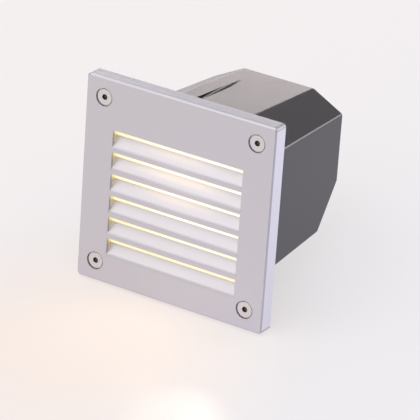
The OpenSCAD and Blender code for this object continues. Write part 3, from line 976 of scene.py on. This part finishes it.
@dataclass
class Turning:
    """A solid turned about the Y axis, with its rings listed from the tip to the head.

    A thread has per_turn rings in each turn, fades over run_out rings at either end, and its
    flanks rise by flank depths in a turn.
    """

    rings: list[Ring] = field(default_factory=list)
    steps: int = 48
    per_turn: int = 8
    run_out: int = 6
    flank: float = 2.2

    def thread(self, start: float, end: float, radius: float, pitch: float, depth: float) -> Rows:
        """Give rings of points that follow a screw thread.

        Args:
            start: Height where it starts.
            end: Height where it ends.
            radius: Outer radius.
            pitch: Rise of one turn.
            depth: Depth of the thread.

        Returns:
            The rings.
        """
        count = max(2, round(abs(end - start) / pitch * self.per_turn))
        rows = []
        for i in range(count + 1):
            height = start + (end - start) * i / count
            fade = min(1.0, i / self.run_out, (count - i) / self.run_out)
            row = []
            for k in range(self.steps):
                turn = 2 * math.pi * k / self.steps
                off_crest = abs((height / pitch + k / self.steps) % 1.0 - 0.5)
                r = radius - depth * fade * min(1.0, self.flank * off_crest)
                row.append((r * math.cos(turn), height, r * math.sin(turn)))
            rows.append(row)
        return rows

    def rows(self) -> Rows:
        """Give the points of the plain rings."""
        turns = [2 * math.pi * k / self.steps for k in range(self.steps)]
        return [
            [(ring.at(t) * math.cos(t), ring.height, ring.at(t) * math.sin(t)) for t in turns]
            for ring in self.rings
        ]

    @staticmethod
    def skin(rows: Rows, hollow: bool = False) -> bmesh.types.BMesh:
        """Join rings of points to a closed mesh.

        Args:
            rows: The rings, all with as many points.
            hollow: True joins the last ring to the first, False puts a cap at each end.

        Returns:
            The mesh.
        """
        mesh = bmesh.new()
        loops = [[mesh.verts.new(point) for point in row] for row in rows]
        if hollow:
            loops.append(loops[0])
        for low, high in zip(loops, loops[1:]):
            for k in range(len(low)):
                j = (k + 1) % len(low)
                mesh.faces.new((low[k], low[j], high[j], high[k]))
        if not hollow:
            mesh.faces.new(list(reversed(loops[0])))
            mesh.faces.new(loops[-1])
        bmesh.ops.recalc_face_normals(mesh, faces=mesh.faces)
        return mesh


# finishes of this light

# painted light: the face and blades get a warm glow of the glass's light painted into their colour
CAST_FACE = BlastedCasting("cast_silver_face_painted_glow", (0.735, 0.708, 0.735), painted_glow=0.9)
CAST_EDGE = BrushedMetal("cast_silver_edge", (0.8, 0.775, 0.84), roughness=0.16)
# painted shade: the plate's edge bevels use a darker copy of the casting colour as a thin dark
# line
CAST_BEVEL_PAINTED_SHADE = BlastedCasting("cast_silver_bevel_painted_shade", (0.52, 0.5, 0.54), roughness=0.3)
# painted shade and painted light: the slot walls are a darker copy of the casting, with a warm
# glow of the glass's light painted on
CAST_WALL_SHADE_AND_GLOW = BlastedCasting(
    "cast_silver_wall_painted_shade_and_glow", (0.55, 0.52, 0.52), painted_glow=1.0, painted_glow_at=(-41.5 * MM, 5 * MM),
    painted_glow_reach=(30 * MM, 90 * MM), painted_glow_deep=(-8.8 * MM, -7.2 * MM), painted_glow_colour=(1.0, 0.93, 0.62),
)
CAST_BACK = BlastedCasting("cast_silver_back", (0.5, 0.49, 0.5), roughness=0.6, spot=0.6 * MM)
STAINLESS = TurnedMetal("stainless_turned", (0.86, 0.82, 0.8))
# painted shade: a dark finish that stands for the shade deep inside the screws' hexagon sockets
SOCKET_PAINTED_SHADE = TurnedMetal("socket_painted_shade", (0.16, 0.12, 0.125), roughness=0.5)
ZINC = TurnedMetal("zinc_plate", (0.74, 0.74, 0.76), roughness=0.34)
SHEET = BrushedMetal("rolled_aluminium", (0.7, 0.71, 0.73), Grain.ALONG_X, contrast=0.2)
BRASS = TurnedMetal("turned_brass", (0.8, 0.6, 0.27), roughness=0.3)
BLACK_BOX = Moulding("black_moulding", (0.021, 0.016, 0.018), roughness=0.25, shine=0.62)
BLACK_NYLON = Moulding("black_nylon", (0.03, 0.03, 0.032), roughness=0.42, spot=0.4 * MM)
WHITE_PLASTIC = Moulding("white_plastic", (0.84, 0.84, 0.81), roughness=0.42)
WHITE_LID = Moulding("white_lid", (0.78, 0.77, 0.73), roughness=0.36)
MIRROR_WHITE = Moulding("reflector_white", (0.88, 0.88, 0.86), spot=0.5 * MM)
GREY_SILICONE = SoftSkin("grey_silicone", (0.07, 0.07, 0.075), roughness=0.6)
CLEAR_SILICONE = SoftSkin(
    "milky_silicone", (0.74, 0.73, 0.68), roughness=0.4, bloom=(0.9, 0.9, 0.88)
)
BLACK_RUBBER = SoftSkin("black_rubber", (0.018, 0.018, 0.02), roughness=0.62)
GLASS = LitGlass("lit_frosted_glass")
BOARD = BoardMask("white_board_mask")
PHOSPHOR = Phosphor("phosphor")
RED_LEAD = SoftSkin("red_insulation", (0.55, 0.03, 0.025), roughness=0.35, bloom_share=0.03)
BLACK_LEAD = SoftSkin("black_insulation", (0.02, 0.02, 0.021), roughness=0.35, bloom_share=0.05)
BROWN_LEAD = SoftSkin("brown_insulation", (0.2, 0.085, 0.04), roughness=0.35, bloom_share=0.03)
BLUE_LEAD = SoftSkin("blue_insulation", (0.04, 0.12, 0.42), roughness=0.35, bloom_share=0.03)
EARTH_LEAD = SoftSkin(
    "green_yellow_insulation", (0.09, 0.36, 0.05), roughness=0.35, bloom_share=0.03,
    band=(0.85, 0.75, 0.05),
)


# sub-assemblies


@dataclass
class Cover:
    """The louvred plate: blasted face and blades, brushed sides and a plain recess behind; its
    bevels and slot walls carry painted shade, and its slots a painted warm glow.

    A nose is the rounded upper front edge of a blade. Sizes that end in turn are the part of a
    face's unit normal that tells how the face lies.
    """

    edge: float = 0.2 * MM
    crease: float = 20.0
    nose_h: float = 2.7 * MM
    nose_r: float = 1.3 * MM
    nose_end: float = 0.06 * MM
    nose_steps: int = 5
    cut_decimals: int = 5
    face_y: float = -9.5 * MM
    recess_y: float = -5.2 * MM
    plate_half: float = 60 * MM
    slot_half: float = 41.5 * MM
    side_reach: float = 3 * MM
    bevel_reach: float = 0.7 * MM
    bevel_deep: float = 0.81 * MM
    recess_slack: float = 0.1 * MM
    slot_slack: float = 0.5 * MM
    blade_turn: float = math.cos(math.radians(56.0))
    blade_slack: float = 0.02
    side_turn: float = 0.995
    square_turn: float = 0.999
    bevel_turn: float = 0.3
    wall_turn: float = 0.95
    front_turn: float = -0.99
    same_plane: float = 0.9999

    def skin_of(self, face: bmesh.types.BMFace) -> Skin:
        """Tell which skin a face has.

        Args:
            face: The face.

        Returns:
            The skin, as the number of its finish.
        """
        centre, normal = face.calc_center_median(), face.normal
        outward = math.hypot(normal.x, normal.z)
        reach = max(abs(centre.x), abs(centre.z))
        if outward > self.side_turn and reach > self.plate_half - self.side_reach:
            square = max(abs(normal.x), abs(normal.z)) > self.square_turn
            return Skin.SIDE if square else Skin.BACK
        near_edge = reach > self.plate_half - self.bevel_reach
        near_face = centre.y < self.face_y + self.bevel_deep
        if near_edge and near_face and outward > self.bevel_turn:
            return Skin.BEVEL
        if centre.y > self.recess_y + self.recess_slack:
            return Skin.BACK
        in_slot = reach < self.slot_half + self.slot_slack
        return Skin.WALL if in_slot and abs(normal.x) > self.wall_turn else Skin.FACE

    def noses(self, mesh: bmesh.types.BMesh) -> list[bmesh.types.BMEdge]:
        """Find the upper front edge of each blade.

        Args:
            mesh: The plate.

        Returns:
            The edges.
        """
        found = []
        for edge in mesh.edges:
            if len(edge.link_faces) == 2:
                low, high = sorted((face.normal for face in edge.link_faces), key=lambda n: n.z)
                slopes = abs(high.z - self.blade_turn) < self.blade_slack
                if low.y < self.front_turn and slopes:
                    found.append(edge)
        return found

    def join_sides(self, mesh: bmesh.types.BMesh, end: float) -> None:
        """Join the triangles of each flat face that meets a nose.

        Args:
            mesh: The plate, already cut along the noses.
            end: Half the length of a nose, in metres.
        """
        sides: list[set[bmesh.types.BMFace]] = []
        for edge in self.noses(mesh):
            for face in edge.link_faces:
                if abs(face.calc_center_median().x) > end or any(face in side for side in sides):
                    continue
                side, fresh = {face}, [face]
                floor = edge.verts[0].co.z - self.nose_h
                while fresh:
                    here = fresh.pop()
                    for near in (other for rim in here.edges for other in rim.link_faces):
                        centre = near.calc_center_median()
                        front = near.normal.y < self.front_turn
                        if near in side or near.normal.dot(here.normal) < self.same_plane:
                            continue
                        if abs(centre.x) < end and (not front or centre.z > floor):
                            side.add(near)
                            fresh.append(near)
                sides.append(side)
        for side in sides:
            bmesh.ops.dissolve_faces(mesh, faces=list(side), use_verts=False)

    def round_noses(self, mesh: bmesh.types.BMesh) -> None:
        """Round the upper front edge of each blade.

        Args:
            mesh: The plate.
        """
        corners = [vert.co.copy() for edge in self.noses(mesh) for vert in edge.verts]
        end = max(abs(corner.x) for corner in corners) - self.nose_end
        cuts = {(end, 0.0, 0.0), (-end, 0.0, 0.0)}
        for step in (0.0, self.nose_h):
            cuts |= {(0.0, 0.0, round(corner.z - step, self.cut_decimals)) for corner in corners}
        for cut in sorted(cuts):
            whole = [*mesh.verts, *mesh.edges, *mesh.faces]
            bmesh.ops.bisect_plane(
                mesh, geom=whole, dist=WELD, plane_co=cut, plane_no=Vector(cut).normalized()
            )
        self.join_sides(mesh, end)
        noses = [
            edge for edge in self.noses(mesh)
            if max(abs(vert.co.x) for vert in edge.verts) < end + self.nose_end / 2
        ]
        bmesh.ops.bevel(
            mesh, geom=noses, offset=self.nose_r, offset_type="OFFSET", segments=self.nose_steps,
            profile=0.5, affect="EDGES", clamp_overlap=False,
        )
        log.info("rounded %d noses", len(noses))

    def build(self, bench: Bench) -> None:
        """Build the plate.

        Args:
            bench: Where pieces are made.
        """
        # the bevel and wall skins are painted shade, and the face and wall skins hold a painted
        # warm glow
        skins = {
            Skin.FACE: CAST_FACE, Skin.SIDE: CAST_EDGE, Skin.BACK: CAST_BACK,
            Skin.BEVEL: CAST_BEVEL_PAINTED_SHADE, Skin.WALL: CAST_WALL_SHADE_AND_GLOW,
        }
        bench.soften(
            "front_cover", [skins[skin] for skin in Skin], self.edge, choose=self.skin_of,
            whole=False, shape=self.round_noses, crease=self.crease,
        )


@dataclass
class CoverScrews:
    """Four countersunk screws with hexagon sockets, each turned and threaded."""

    head_y: float = -9.0 * MM
    spacing: float = 97 * MM
    head_d: float = 9.15 * MM
    head_round: float = 0.12 * MM
    rim: float = 0.1 * MM
    land: float = 0.25 * MM
    thread_d: float = 5 * MM
    thread_pitch: float = 0.8 * MM
    thread_depth: float = 0.4 * MM
    thread_gap: float = 0.3 * MM
    length: float = 16 * MM
    point: float = 0.5 * MM
    socket_af: float = 3 * MM
    socket_depth: float = 1.8 * MM
    mouth_share: float = 0.62
    mouth_depth: float = 0.14 * MM
    cone_depth: float = 0.5 * MM
    cone_end: float = 0.05 * MM
    dark_share: float = 0.6
    dark_span: Span = (0.1 * MM, 2.5 * MM)
    turn_step: float = 0.41
    edge: float = 0.05 * MM
    edge_angle: float = 35.0

    def mesh(self) -> bmesh.types.BMesh:
        """Build one screw about the Y axis, its head at the origin and its tip towards +Y.

        Returns:
            The mesh, with the second finish, a dark painted shade, in the socket.
        """
        r, head, flat = self.thread_d / 2, self.head_d / 2, self.socket_af / 2
        turning = Turning([
            Ring(head - r, r),
            Ring(self.land, head),
            Ring(self.rim, head),
            Ring(0.0, head - self.head_round),
            Ring(0.0, self.socket_af * self.mouth_share),
            Ring(self.mouth_depth, flat, Outline.HEXAGON),
            Ring(self.socket_depth, flat, Outline.HEXAGON),
            Ring(self.socket_depth + self.cone_depth, self.cone_end),
        ])
        shank = turning.thread(
            self.length, head - r + self.thread_gap, r, self.thread_pitch, self.thread_depth
        )
        mesh = Turning.skin(
            Turning([Ring(self.length, r - self.point)]).rows() + shank + turning.rows()
        )
        # painted shade: faces deep in the hexagon socket take the dark finish
        low, high = self.dark_span
        for face in mesh.faces:
            middle = face.calc_center_median()
            inside = math.hypot(middle.x, middle.z) < self.socket_af * self.dark_share
            face.material_index = int(inside and low < middle.y < high)
        return mesh

    def build(self, bench: Bench) -> None:
        """Build the four screws.

        Args:
            bench: Where pieces are made.
        """
        half = self.spacing / 2
        turn = 0.0
        for side, x in (("left", -half), ("right", half)):
            for level, z in (("top", half), ("bottom", -half)):
                node = f"cover_screw_{level}_{side}"
                piece = bench.new(node + "_made", self.mesh(), (STAINLESS, SOCKET_PAINTED_SHADE))
                turn += self.turn_step
                spin = Matrix.Rotation(turn, 4, "Y")
                piece.matrix_world = Matrix.Translation((x, self.head_y, z)) @ spin
                bench.round_edges(piece, self.edge, segments=1, angle=self.edge_angle)
                bench.stand_for(piece, node)


@dataclass
class Window:
    """The lit glass, the seal round it and the gasket between cover and box."""

    glass_edge: float = 0.4 * MM
    seal_edge: float = 0.15 * MM
    gasket_edge: float = 0.2 * MM

    def build(self, bench: Bench) -> None:
        """Build the glass and its seals.

        Args:
            bench: Where pieces are made.
        """
        bench.soften("diffuser_glass", (GLASS,), self.glass_edge, segments=3)
        bench.soften("glass_seal", (CLEAR_SILICONE,), self.seal_edge)
        bench.soften("cover_gasket", (GREY_SILICONE,), self.gasket_edge)


@dataclass
class LightSource:
    """The reflector, the board and its light packages."""

    reflector_edge: float = 0.3 * MM
    package_edge: float = 0.12 * MM

    def build(self, bench: Bench) -> None:
        """Build the reflector and the packages, and dress the board.

        Args:
            bench: Where pieces are made.
        """
        bench.soften("reflector", (MIRROR_WHITE,), self.reflector_edge)
        bench.dress("led_board", BOARD)
        bench.soften("leds", (PHOSPHOR,), self.package_edge)


@dataclass
class SmallScrews:
    """A node's set of small screws, each rebuilt where the CAD model has one."""

    node: str
    outline: Outline = Outline.CROSS
    faces_back: bool = False
    shank_d: float = 3 * MM
    head_d: float = 5.5 * MM
    head_h: float = 2 * MM
    pitch: float = 0.7 * MM
    thread_depth: float = 0.3 * MM
    thread_gap: float = 0.2 * MM
    point_share: float = 0.75
    side_share: float = 0.42
    shoulder_share: float = 0.12
    crown_share: float = 0.72
    flush_share: float = 0.96
    cross_share: float = 0.62
    slot_share: float = 0.94
    mouth_share: float = 0.97
    recess_share: float = 0.55
    narrow_share: float = 0.6
    cone_depth: float = 0.15 * MM
    cone_end: float = 0.02 * MM
    steps: int = 40
    per_turn: int = 6
    edge: float = 0.06 * MM
    edge_angle: float = 38.0

    def rows(self, length: float) -> Rows:
        """Give one screw's rings, from its tip to the bottom of its recess.

        Args:
            length: From the top of the head to the tip.

        Returns:
            The rings, with the head's top at height 0.
        """
        r, head, high = self.shank_d / 2, self.head_d / 2, self.head_h
        recess = head * (self.cross_share if self.outline is Outline.CROSS else self.slot_share)
        crown = head * (self.crown_share if self.head_d > self.shank_d else self.flush_share)
        dip = self.recess_share * high
        turning = Turning([
            Ring(high, r), Ring(high, head), Ring(self.side_share * high, head),
            Ring(self.shoulder_share * high, (head + crown) / 2), Ring(0.0, crown),
            Ring(0.0, min(recess, self.mouth_share * crown), self.outline),
            Ring(dip, self.narrow_share * recess, self.outline),
            Ring(dip + self.cone_depth, self.cone_end),
        ], self.steps, self.per_turn)
        tip = Turning([Ring(length, self.point_share * r)], self.steps).rows()
        shank = turning.thread(length, high + self.thread_gap, r, self.pitch, self.thread_depth)
        return tip + shank + turning.rows()

    def build(self, bench: Bench) -> None:
        """Build the set.

        Args:
            bench: Where pieces are made.
        """
        whole = bmesh.new()
        for low, high in bench.islands(self.node):
            one = Turning.skin(self.rows(high.y - low.y))
            centre = (low + high) / 2
            sign = -1.0 if self.faces_back else 1.0
            foot = high.y if self.faces_back else low.y
            for corner in one.verts:
                x, y, z = corner.co
                corner.co = (centre.x + x, foot + sign * y, centre.z + z)
            data = bpy.data.meshes.new("one")
            one.to_mesh(data)
            one.free()
            whole.from_mesh(data)
            bpy.data.meshes.remove(data)
        bmesh.ops.recalc_face_normals(whole, faces=whole.faces)
        piece = bench.new(self.node + "_made", whole, (ZINC,))
        bench.round_edges(piece, self.edge, segments=1, angle=self.edge_angle)
        bench.stand_for(piece, self.node)


@dataclass
class Gear:
    """The tray with the driver, the terminals, their screws and their leads."""

    tray_edge: float = 0.12 * MM
    case_edge: float = 0.4 * MM
    block_edge: float = 0.25 * MM
    set_head_h: float = 0.8 * MM
    terminal_d: float = 2.6 * MM
    fixing_d: float = 2.4 * MM

    def screws(self) -> tuple[SmallScrews, ...]:
        """List the sets of small screws; those of the terminals are slotted and without heads.

        Returns:
            The sets.
        """
        plain, thin = self.terminal_d, self.fixing_d
        slotted = {"outline": Outline.SLOT, "faces_back": True, "head_h": self.set_head_h}
        return (
            SmallScrews("board_screws"),
            SmallScrews("tray_screws"),
            SmallScrews("driver_screws", faces_back=True),
            SmallScrews("earth_screw", faces_back=True),
            SmallScrews("terminal_screws", shank_d=plain, head_d=plain, **slotted),
            SmallScrews("terminal_fixings", shank_d=thin, head_d=thin, **slotted),
        )

    def build(self, bench: Bench) -> None:
        """Build the gear and dress its small parts.

        Args:
            bench: Where pieces are made.
        """
        bench.soften("gear_tray", (SHEET,), self.tray_edge, segments=1)
        bench.soften("driver_case", (WHITE_PLASTIC,), self.case_edge)
        bench.soften("driver_lid", (WHITE_LID,), self.case_edge)
        bench.soften("terminal_block", (WHITE_PLASTIC,), self.block_edge)
        for screws in self.screws():
            screws.build(bench)
        dressed = {
            "terminal_sleeves": BRASS, "earth_tag": BRASS,
            "board_lead_plus": RED_LEAD, "board_lead_minus": BLACK_LEAD,
            "live_lead": BROWN_LEAD, "neutral_lead": BLUE_LEAD, "earth_lead": EARTH_LEAD,
        }
        for node, finish in dressed.items():
            bench.dress(node, finish)


@dataclass
class BackBox:
    """The moulded box with its flange, and the brass bushes in its corner bosses."""

    edge: float = 0.3 * MM

    def build(self, bench: Bench) -> None:
        """Build the box and dress its bushes.

        Args:
            bench: Where pieces are made.
        """
        bench.soften("back_box", (BLACK_BOX,), self.edge)
        bench.dress("brass_inserts", BRASS)


@dataclass
class CableGland:
    """The gland on the slanted lower rear face; heights count outwards from that face."""

    foot: Point = (0.0, 76.945 * MM, -30.098 * MM)
    tilt: float = -40.0
    tail: float = -10.5 * MM
    thread_d: float = 16 * MM
    tail_depth: float = 0.7 * MM
    tail_gap: float = 0.3 * MM
    neck_d: float = 15 * MM
    neck_top: float = 14.5 * MM
    neck_depth: float = 0.6 * MM
    neck_gap: float = 0.4 * MM
    pitch: float = 1.5 * MM
    af: float = 20 * MM
    hex_low: float = 1.5 * MM
    hex_high: float = 5.5 * MM
    bore_d: float = 10.6 * MM
    seal_d: float = 12.4 * MM
    seal_low: float = 7.5 * MM
    cap_low: float = 6 * MM
    cap_top: float = 19 * MM
    cap_gap: float = 0.1 * MM
    mouth_d: float = 11 * MM
    dome_low: float = 15 * MM
    dome_shares: tuple[float, ...] = (0.0, 0.17, 0.26, 0.34, 0.435)
    steps: int = 60
    edge: float = 0.25 * MM
    edge_angle: float = 50.0
    nut_edge: float = 0.4 * MM
    rubber_edge: float = 0.2 * MM

    def body_rows(self) -> Rows:
        """Give the body's rings.

        Returns:
            The rings, up its outside and back down its bore.
        """
        low, high, pitch = self.hex_low, self.hex_high, self.pitch
        tail_r, neck_r, flat = self.thread_d / 2, self.neck_d / 2, self.af / 2
        turn = Turning(steps=self.steps)
        tail = turn.thread(self.tail, low - self.tail_gap, tail_r, pitch, self.tail_depth)
        neck = turn.thread(high + self.neck_gap, self.neck_top, neck_r, pitch, self.neck_depth)
        flats = Turning([
            Ring(low, tail_r), Ring(low, flat, Outline.HEXAGON),
            Ring(high, flat, Outline.HEXAGON), Ring(high, neck_r),
        ], self.steps).rows()
        inside = Turning([
            Ring(self.neck_top, self.seal_d / 2), Ring(self.seal_low, self.seal_d / 2),
            Ring(self.seal_low, self.bore_d / 2), Ring(self.tail, self.bore_d / 2),
        ], self.steps).rows()
        return tail + flats + neck + inside

    def cap_rows(self) -> Rows:
        """Give the cap's rings: a hexagon under a dome, with a mouth for the cable.

        Returns:
            The rings, up its outside and back down its bore.
        """
        flat, mouth = self.af / 2, self.mouth_d / 2
        wall = (self.af - self.neck_d) / 2
        wide, narrow = flat + wall, (self.mouth_d + wall) / 2
        rings = [Ring(self.cap_low, flat, Outline.HEXAGON)]
        for share in self.dome_shares:
            height = self.dome_low + share * (self.cap_top - self.dome_low)
            rings.append(Ring(height, flat, Outline.HEXAGON, wide + share * (narrow - wide)))
        bore = self.neck_d / 2 + self.cap_gap
        rings += [
            Ring(self.cap_top, narrow), Ring(self.cap_top, mouth), Ring(self.dome_low, mouth),
            Ring(self.dome_low, bore), Ring(self.cap_low, bore),
        ]
        return Turning(rings, self.steps).rows()

    def build(self, bench: Bench) -> None:
        """Build the gland's pieces.

        Args:
            bench: Where pieces are made.
        """
        place = Matrix.Translation(self.foot) @ Matrix.Rotation(math.radians(self.tilt), 4, "X")
        for node, rows in (("gland_body", self.body_rows()), ("gland_cap", self.cap_rows())):
            mesh = Turning.skin(rows, hollow=True)
            mesh.transform(place)
            piece = bench.new(node + "_made", mesh, (BLACK_NYLON,))
            bench.round_edges(piece, self.edge, angle=self.edge_angle)
            bench.stand_for(piece, node)
        bench.soften("gland_locknut", (BLACK_NYLON,), self.nut_edge, segments=3)
        for node in ("gland_washer", "gland_seal"):
            bench.soften(node, (BLACK_RUBBER,), self.rubber_edge)


# camera, floor and light


@dataclass(frozen=True)
class Softbox:
    """A lamp with a plain face, aimed at the light.

    Its azimuth counts from straight behind the light towards the right, in degrees.
    """

    name: str
    azimuth: float
    elevation: float
    distance: float
    size: tuple[float, float]
    radiance: float
    colour: Colour

    def hang(self) -> None:
        """Hang the lamp."""
        data = bpy.data.lights.new(self.name, "AREA")
        data.shape = "RECTANGLE"
        data.size, data.size_y = self.size
        data.color = self.colour
        data.energy = self.radiance * math.pi * self.size[0] * self.size[1]
        az, el = math.radians(self.azimuth), math.radians(self.elevation)
        way = Vector((math.sin(az) * math.cos(el), math.cos(az) * math.cos(el), math.sin(el)))
        put(self.name, data, facing(way * self.distance, way))


@dataclass(frozen=True)
class Beam:
    """A soft cone of warm light."""

    name: str
    start: Point
    end: Point
    power: float
    angle: float
    colour: Colour
    softness: float = 6 * MM

    def shine(self) -> None:
        """Add the cone."""
        data = bpy.data.lights.new(self.name, "SPOT")
        data.energy = self.power
        data.color = self.colour
        data.spot_size = math.radians(self.angle)
        data.spot_blend = 1.0
        data.shadow_soft_size = self.softness
        start = Vector(self.start)
        put(self.name, data, facing(start, start - Vector(self.end)))


LAMPS = (
    Softbox(
        "rear_left", azimuth=-34.0, elevation=7.5, distance=4.0, size=(3.6, 1.15),
        radiance=3.7, colour=(1.0, 0.89, 0.88),
    ),
    Softbox(
        "rear_right", azimuth=34.0, elevation=15.0, distance=1.5, size=(0.9, 0.85),
        radiance=3.6, colour=(0.94, 0.94, 1.0),
    ),
    Softbox(
        "front_left", azimuth=-160.0, elevation=50.0, distance=1.7, size=(2.2, 1.8),
        radiance=1.0, colour=(1.0, 0.98, 0.97),
    ),
)
BEAMS = (
    Beam(
        "glow", (-5 * MM, -30 * MM, 0.0), (0.0, -75 * MM, -69 * MM),
        power=0.06, angle=130.0, colour=(1.0, 0.74, 0.5),
    ),
    Beam(
        "hot_spot", (30 * MM, -30 * MM, 0.0), (71 * MM, -108 * MM, -73 * MM),
        power=0.17, angle=36.0, colour=(1.0, 0.88, 0.7),
    ),
    Beam(
        "blades", (-160 * MM, -360 * MM, 40 * MM), (4 * MM, -8 * MM, 8 * MM),
        power=0.16, angle=7.5, colour=(1.0, 0.86, 0.64),
    ),
)


@dataclass
class Studio:
    """Camera, floor and surroundings, and all the lamps.

    The camera's turns and the lean of the light are in degrees, and its sensor is in millimetres.
    """

    eye: Point = (866.69 * MM, -1424.13 * MM, 730.08 * MM)
    yaw: float = 30.8165
    pitch: float = 66.1789
    roll: float = 4.0842
    focal_px: float = 3366.44
    picture_px: float = 420.0
    sensor: float = 36.0
    clip: Span = (0.05, 50.0)
    rest_z: float = -60 * MM
    lean: float = 7.0
    floor_half: float = 4.0
    floor_left: Colour = (0.955, 0.915, 0.905)
    floor_right: Colour = (0.905, 0.895, 0.925)
    # painted reflection: the blue that mirrored rays see on the floor towards the right
    painted_reflection_blue: Colour = (0.84, 0.85, 1.0)
    tint_reach: float = 0.3
    cloud: float = 0.4
    cloud_share: float = 0.3
    floor_roughness: float = 0.38
    floor_shine: float = 0.4
    plain_share: float = 0.65
    plain_strength: float = 1.0
    # painted light: a warm pool of the light's glow, painted into the floor's plain colour in
    # front of the plate
    painted_spill_at: Point = (-20 * MM, -75 * MM, 0.0)
    painted_spill_reach: Span = (20 * MM, 150 * MM)
    painted_spill_share: float = 0.9
    painted_spill_colour: Colour = (1.0, 0.86, 0.76)
    sky: Colour = (0.97, 0.96, 1.0)
    sky_strength: float = 0.58

    def build(self) -> None:
        """Set up camera, floor, lamps and surroundings."""
        self.build_camera()
        self.build_floor()
        self.build_sky()
        for lamp in LAMPS:
            lamp.hang()
        for beam in BEAMS:
            beam.shine()
        bpy.context.scene.view_settings.view_transform = "Standard"
        log.info("studio ready")

    def build_camera(self) -> None:
        """Put the camera where the photograph was taken from."""
        data = bpy.data.cameras.new("camera")
        data.sensor_width = self.sensor
        data.lens = self.focal_px / self.picture_px * self.sensor
        data.clip_start, data.clip_end = self.clip
        where = Matrix.Translation(self.eye)
        for angle, axis in ((self.yaw, "Z"), (self.pitch, "X"), (self.roll, "Z")):
            where = where @ Matrix.Rotation(math.radians(angle), 4, axis)
        bpy.context.scene.camera = put("camera", data, where)

    def floor_finish(self) -> bpy.types.Material:
        """Make the floor's material.

        Part of what the camera and mirrored rays meet is plain colour, which keeps the floor pale;
        the rest is lit, and takes the light's shadow and its mirror image.
        The plain colour also holds a painted warm pool of light in front of the plate, and
        mirrored rays see it turn to a painted blue reflection towards the right.

        Returns:
            The material.
        """
        tree = ShaderTree("pale_floor")
        camera = tree.node("LightPath", out="Is Camera Ray")
        mirrored = tree.node("LightPath", out="Is Glossy Ray")
        across = tree.place().axis(0).between(-self.tint_reach, self.tint_reach)
        tint = across + tree.noise(self.cloud, detail=1.0).swing(self.cloud_share)
        colour = tree.blend(tint, self.floor_left, self.floor_right)
        # painted light: the warm pool in front of the plate is blended into the plain colour
        inputs = {0: tree.place(), 1: self.painted_spill_at}
        gap = tree.node("VectorMath", {"operation": "DISTANCE"}, inputs, out="Value")
        painted_spill = (1.0 - gap.between(*self.painted_spill_reach)) * self.painted_spill_share
        painted_glow = tree.blend(painted_spill, colour, self.painted_spill_colour)
        lit = tree.surface({
            "Base Color": colour,
            "Roughness": self.floor_roughness,
            "Specular IOR Level": self.floor_shine,
        })
        # painted reflection: to mirrored rays the plain colour turns blue towards the right
        plain = tree.surface({
            "Base Color": (0.0, 0.0, 0.0),
            "Specular IOR Level": 0.0,
            "Emission Color": tree.blend(across * mirrored, painted_glow, self.painted_reflection_blue),
            "Emission Strength": self.plain_strength,
        })
        share = camera.math("MAXIMUM", mirrored) * self.plain_share
        return tree.finish(tree.node("MixShader", {}, {0: share, 1: lit, 2: plain}))

    def build_floor(self) -> None:
        """Lay the floor so that the light leans back on its plate and its gland."""
        mesh = bmesh.new()
        half = self.floor_half
        corners = [(-half, -half, 0.0), (half, -half, 0.0), (half, half, 0.0), (-half, half, 0.0)]
        mesh.faces.new([mesh.verts.new(corner) for corner in corners])
        data = bpy.data.meshes.new("floor")
        mesh.to_mesh(data)
        mesh.free()
        data.materials.append(self.floor_finish())
        tilt = Matrix.Rotation(math.radians(self.lean), 4, "X")
        floor = put("floor", data, Matrix.Translation((0.0, 0.0, self.rest_z)) @ tilt)

    def build_sky(self) -> None:
        """Light everything evenly from all round."""
        world = bpy.data.worlds.new("surroundings")
        world.use_nodes = True
        back = world.node_tree.nodes["Background"]
        back.inputs["Color"].default_value = (*self.sky, 1.0)
        back.inputs["Strength"].default_value = self.sky_strength
        bpy.context.scene.world = world


def main() -> None:
    """Build the light's sub-assemblies in order."""
    logging.basicConfig(level=logging.INFO, format="%(name)s: %(message)s")
    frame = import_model()
    bench = Bench(frame)
    Studio().build()
    assemblies = (
        BackBox(), CableGland(), LightSource(), Gear(), Window(), Cover(), CoverScrews(),
    )
    for assembly in assemblies:
        assembly.build(bench)
        log.info("finished %s", type(assembly).__name__)


if __name__ == "__main__":
    main()
